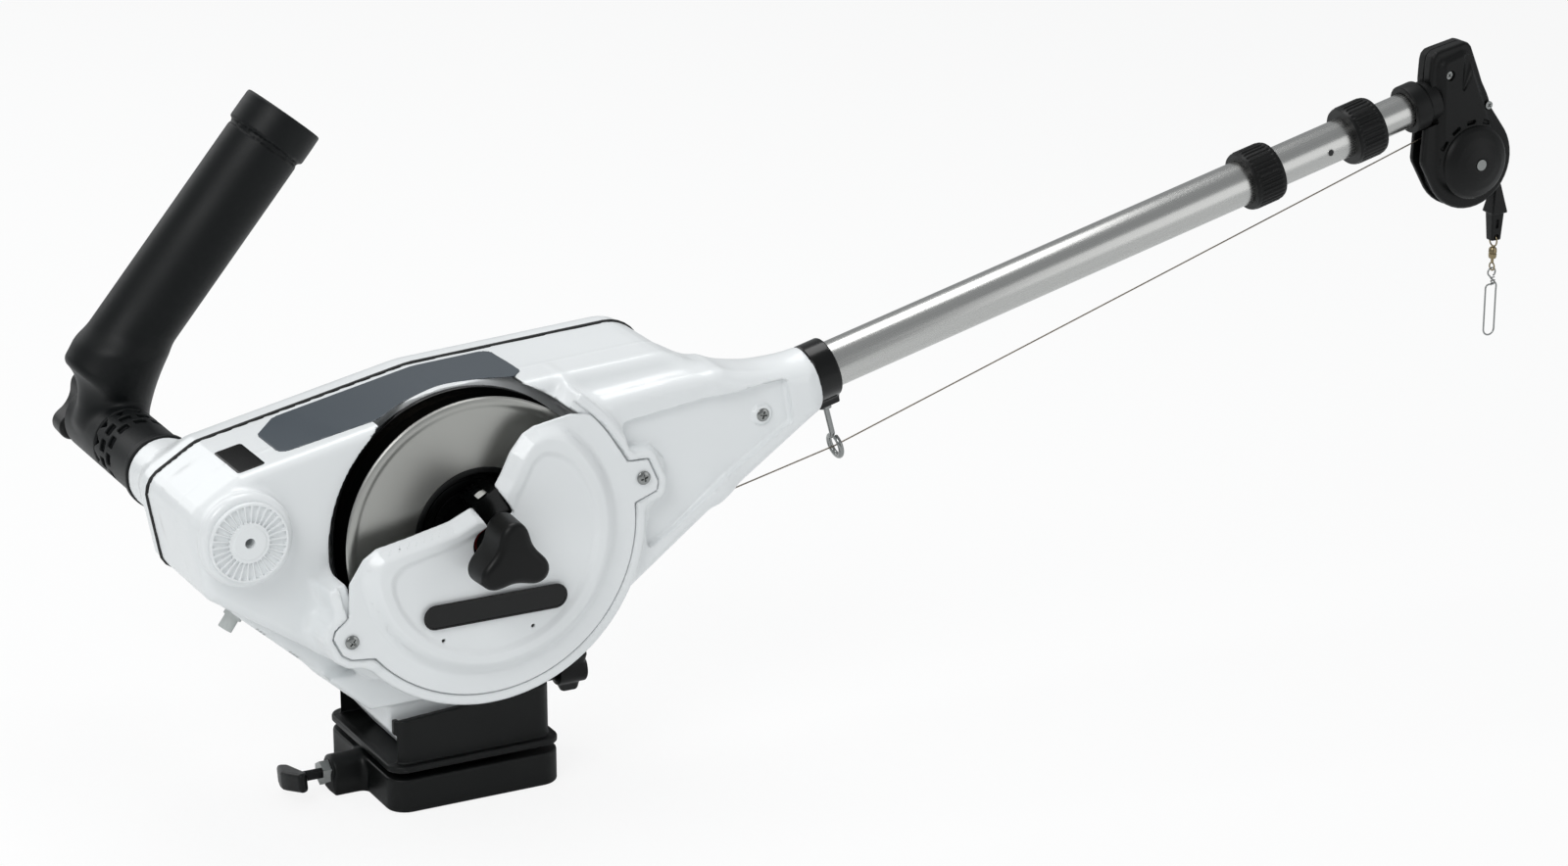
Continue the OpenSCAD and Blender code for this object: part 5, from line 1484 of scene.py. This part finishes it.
        def bent(r: float, below: float, first: int, last: int, step: int) -> list[Point]:
            return [(r * math.cos(a), 0, r * math.sin(a) - below) for a in np.radians(np.arange(first, last, step))]

        ring, bend = bent(3.2, 3.0, -62, 243, 15), bent(4.6, 46, 0, -181, -15)
        path = [(x + a, y + b, top + c) for a, b, c in ring + SNAP_DOWN + bend + SNAP_UP]
        self.add(wire("snap_hook_skin", spline(path, 4), 0.62, 12), "snap_hook")
        coil = [
            (x + 1.5 + 1.35 * math.cos(a), y + 1.35 * math.sin(a), top - 7.2 - 0.36 * a)
            for a in np.linspace(0, 5 * math.pi, 60)
        ]
        self.add(wire("snap_hook_coil", coil, 0.5, 10), slot=Slot.STEEL, body="snap")
        self.turned("pulley_cap", rounded_profile(CAP, 1.2), (HEAD[0], -66.5, HEAD[1]), ALONG_Y)

    def plates(self) -> None:
        """Makes the bare nameplate and the two bare labels that follow the body's top."""
        pill = extruded(plate_flat(0, 148, 101, 17, 8.45), -92.3, -91.4, 0.35)
        rim = common(0.2, pill, lambda x, y, z: y + 91.45)
        plate = without(0.3, rim, extruded(plate_flat(0, 148, 98.4, 14.4, 7.2), -93, -91.95, 0.2))
        self.add(mesh_field("nameplate_skin", plate, (-52, -92.4, 138), (52, -91.4, 158), 0.4), "nameplate")
        grey = polygon(hull_outline([(-119, -34, 8), (-119, -4, 8), (-106, 9, 8), (39, 10, 7), (39, -30, 8),
                                     (28, -44, 6)]))
        notch = disc(-8, -112, 84)
        label = lay_on_top("labels_grey", lambda u, v: smooth_max(grey(u, v), -notch(u, v), 4), (-136, -53), (60, 24))
        self.add(label, "labels")
        label = lay_on_top("labels_black", plate_flat(-149, -26, 19, 44, 2.5), (-162, -52), (-136, 0))
        self.add(label, "labels", slot=Slot.GLOSS)

    def keep(self) -> None:
        """Gives every CAD node that still shows its material and softened edges."""
        for name, obj in self.nodes.items():
            if obj.hide_render:
                continue
            obj.data.materials.clear()
            obj.data.materials.append(self.materials[self.slot_of[name]])
            crease(obj, 30)
            bevel = obj.modifiers.new("edges", "BEVEL")
            bevel.width, bevel.segments = 0.0003, 2
            bevel.limit_method, bevel.angle_limit = "ANGLE", math.radians(35)
            bevel.use_clamp_overlap = True
            bevel.harden_normals = False

    def build(self) -> None:
        """Builds all pieces."""
        self.moulded()
        self.screws()
        self.tubes()
        self.collars()
        self.reel()
        self.cables()
        self.fittings()
        self.plates()
        self.keep()


def lay_on_top(name: str, flat: Flat, low: Pair, high: Pair) -> bpy.types.Object:
    """Thin label bent along the top of the housing's outline.

    Args:
        name: Name of the piece.
        flat: Its outline, measured along the housing's top from X 0 and along Y.
        low: Least corner searched.
        high: Greatest corner searched.

    Returns:
        The label.
    """
    top = np.array([p for p in BODY_OUTLINE if p[1] > 214])
    top = top[np.argsort(top[:, 0])]
    along = np.concatenate([[0], np.cumsum(np.linalg.norm(np.diff(top, axis=0), axis=1))])
    start = float(np.interp(0, top[:, 0], along))

    def sheet(u: Array, v: Array, w: Array) -> Array:
        return rounded_pair(flat(u, v), np.abs(w) - 0.4, 0.2)

    def on_top(s: Array) -> tuple[Array, Array]:
        return np.interp(s, along, top[:, 0]), np.interp(s, along, top[:, 1])

    flat_obj = mesh_field(name, sheet, (*low, -0.5), (*high, 0.5), 0.8)
    co = np.zeros(len(flat_obj.data.vertices) * 3)
    flat_obj.data.vertices.foreach_get("co", co)
    s, y, w = co.reshape(-1, 3).T / MM
    faces = np.array([list(p.vertices) for p in flat_obj.data.polygons])
    bpy.data.objects.remove(flat_obj)
    x, z = on_top(s + start)
    reach, gap = 3.0, 0.1
    (x0, z0), (x1, z1) = on_top(s + start - reach), on_top(s + start + reach)
    dx, dz = x1 - x0, z1 - z0
    n = np.hypot(dx, dz)
    points = np.stack([x - dz / n * (w + gap), y, z + dx / n * (w + gap)], 1)
    return crease(make_object(name, points, faces), 60)


# ---------------------------------------------------------------- stage

# The photograph's camera: turn and height in degrees, focal length in pixels of the 1600 wide photo,
# and the pixel at which a known point of the object is seen from a distance in metres.
CAMERA_TURN, CAMERA_RISE = -27.7, 19.0
PHOTO_WIDTH, PHOTO_CENTRE = 1600.0, (800, 442)
FOCAL = 4500.0
SEEN_POINT, SEEN_PIXEL, SEEN_DEPTH = (0.0, -0.0835, 0.1785), (500, 570), 2.835
SENSOR = 36.0
FLOOR_HALF = 12.0
FLOOR_GLOW = 0.86
AIM = (0.2, -0.02, 0.2)
# Lamps: name, place, size in metres, power in watts.
LAMPS = (
    ("key", (-1.5, -1.3, 2.0), 1.3, 27),
    ("fill", (1.9, -1.9, 0.8), 1.6, 7),
    ("top", (0.3, 0.6, 2.4), 1.4, 22),
    ("back", (-0.6, 2.2, 1.3), 1.6, 10),
)


def add_light(name: str, place: Point, size: float, power: float) -> None:
    """White square area lamp aimed at the object, in metres."""
    data = bpy.data.lights.new(name, "AREA")
    data.size, data.energy, data.color = size, power, linear("#ffffff")[:3]
    obj = bpy.data.objects.new(name, data)
    bpy.context.scene.collection.objects.link(obj)
    obj.location = place
    obj.rotation_euler = (Vector(AIM) - Vector(place)).to_track_quat("-Z", "Y").to_euler()


def set_world() -> None:
    """Soft grey light all round, behind which the camera sees white."""
    world = bpy.data.worlds.new("studio")
    bpy.context.scene.world = world
    world.use_nodes = True
    tree = world.node_tree
    soft = tree.nodes["Background"]
    soft.inputs["Color"].default_value = linear("#f2f5f7")
    soft.inputs["Strength"].default_value = 0.42
    seen_white = add_node(tree, "ShaderNodeBackground", _Color=(1, 1, 1, 1), _Strength=1.0)
    pick = add_node(tree, "ShaderNodeMixShader")
    tree.links.new(add_node(tree, "ShaderNodeLightPath").outputs["Is Camera Ray"], pick.inputs["Fac"])
    tree.links.new(soft.outputs["Background"], pick.inputs[1])
    tree.links.new(seen_white.outputs["Background"], pick.inputs[2])
    tree.links.new(pick.outputs["Shader"], tree.nodes["World Output"].inputs["Surface"])


def add_floor() -> None:
    """Pale floor that glows towards the camera, so that it fades into the background."""
    s = FLOOR_HALF
    mesh = bpy.data.meshes.new("floor")
    mesh.from_pydata([(-s, -s, 0), (s, -s, 0), (s, s, 0), (-s, s, 0)], [], [(0, 1, 2, 3)])
    floor = link("floor", mesh)
    mat = bpy.data.materials.new("floor")
    mat.use_nodes = True
    tree = mat.node_tree
    shader = tree.nodes["Principled BSDF"]
    shader.inputs["Base Color"].default_value = linear("#f4f5f5")
    shader.inputs["Roughness"].default_value = 0.6
    glow = add_node(tree, "ShaderNodeEmission", _Color=(1, 1, 1, 1), _Strength=1.0)
    share = add_node(tree, "ShaderNodeMath", operation="MULTIPLY")
    share.inputs[1].default_value = FLOOR_GLOW
    tree.links.new(add_node(tree, "ShaderNodeLightPath").outputs["Is Camera Ray"], share.inputs[0])
    blend = add_node(tree, "ShaderNodeMixShader")
    tree.links.new(share.outputs[0], blend.inputs["Fac"])
    tree.links.new(shader.outputs["BSDF"], blend.inputs[1])
    tree.links.new(glow.outputs["Emission"], blend.inputs[2])
    tree.links.new(blend.outputs["Shader"], tree.nodes["Material Output"].inputs["Surface"])
    mesh.materials.append(mat)


def add_camera() -> None:
    """The photograph's camera."""
    az, el = math.radians(CAMERA_TURN), math.radians(CAMERA_RISE)
    forward = np.array([-math.sin(az) * math.cos(el), math.cos(az) * math.cos(el), -math.sin(el)])
    right = np.array([math.cos(az), math.sin(az), 0.0])
    up = np.cross(right, forward)
    dx, dy = ((SEEN_PIXEL[i] - PHOTO_CENTRE[i]) / FOCAL for i in (0, 1))
    place = np.array(SEEN_POINT) - SEEN_DEPTH * (forward + right * dx - up * dy)
    data = bpy.data.cameras.new("photo")
    data.sensor_width, data.lens = SENSOR, FOCAL * SENSOR / PHOTO_WIDTH
    data.clip_start, data.clip_end = 0.05, 50.0
    camera = bpy.data.objects.new("photo", data)
    bpy.context.scene.collection.objects.link(camera)
    rows = [(right[i], up[i], -forward[i], place[i]) for i in range(3)]
    camera.matrix_world = Matrix((*rows, (0, 0, 0, 1)))
    bpy.context.scene.camera = camera


def set_stage() -> None:
    """Pale floor and background, studio lamps and the photograph's camera."""
    bpy.context.scene.view_settings.view_transform = "Standard"
    set_world()
    add_floor()
    for lamp in LAMPS:
        add_light(*lamp)
    add_camera()


def main() -> None:
    logging.basicConfig(level=logging.INFO, format="%(message)s")
    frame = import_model()
    Downrigger(frame).build()
    set_stage()
    bpy.context.view_layer.update()


if __name__ == "__main__":
    main()
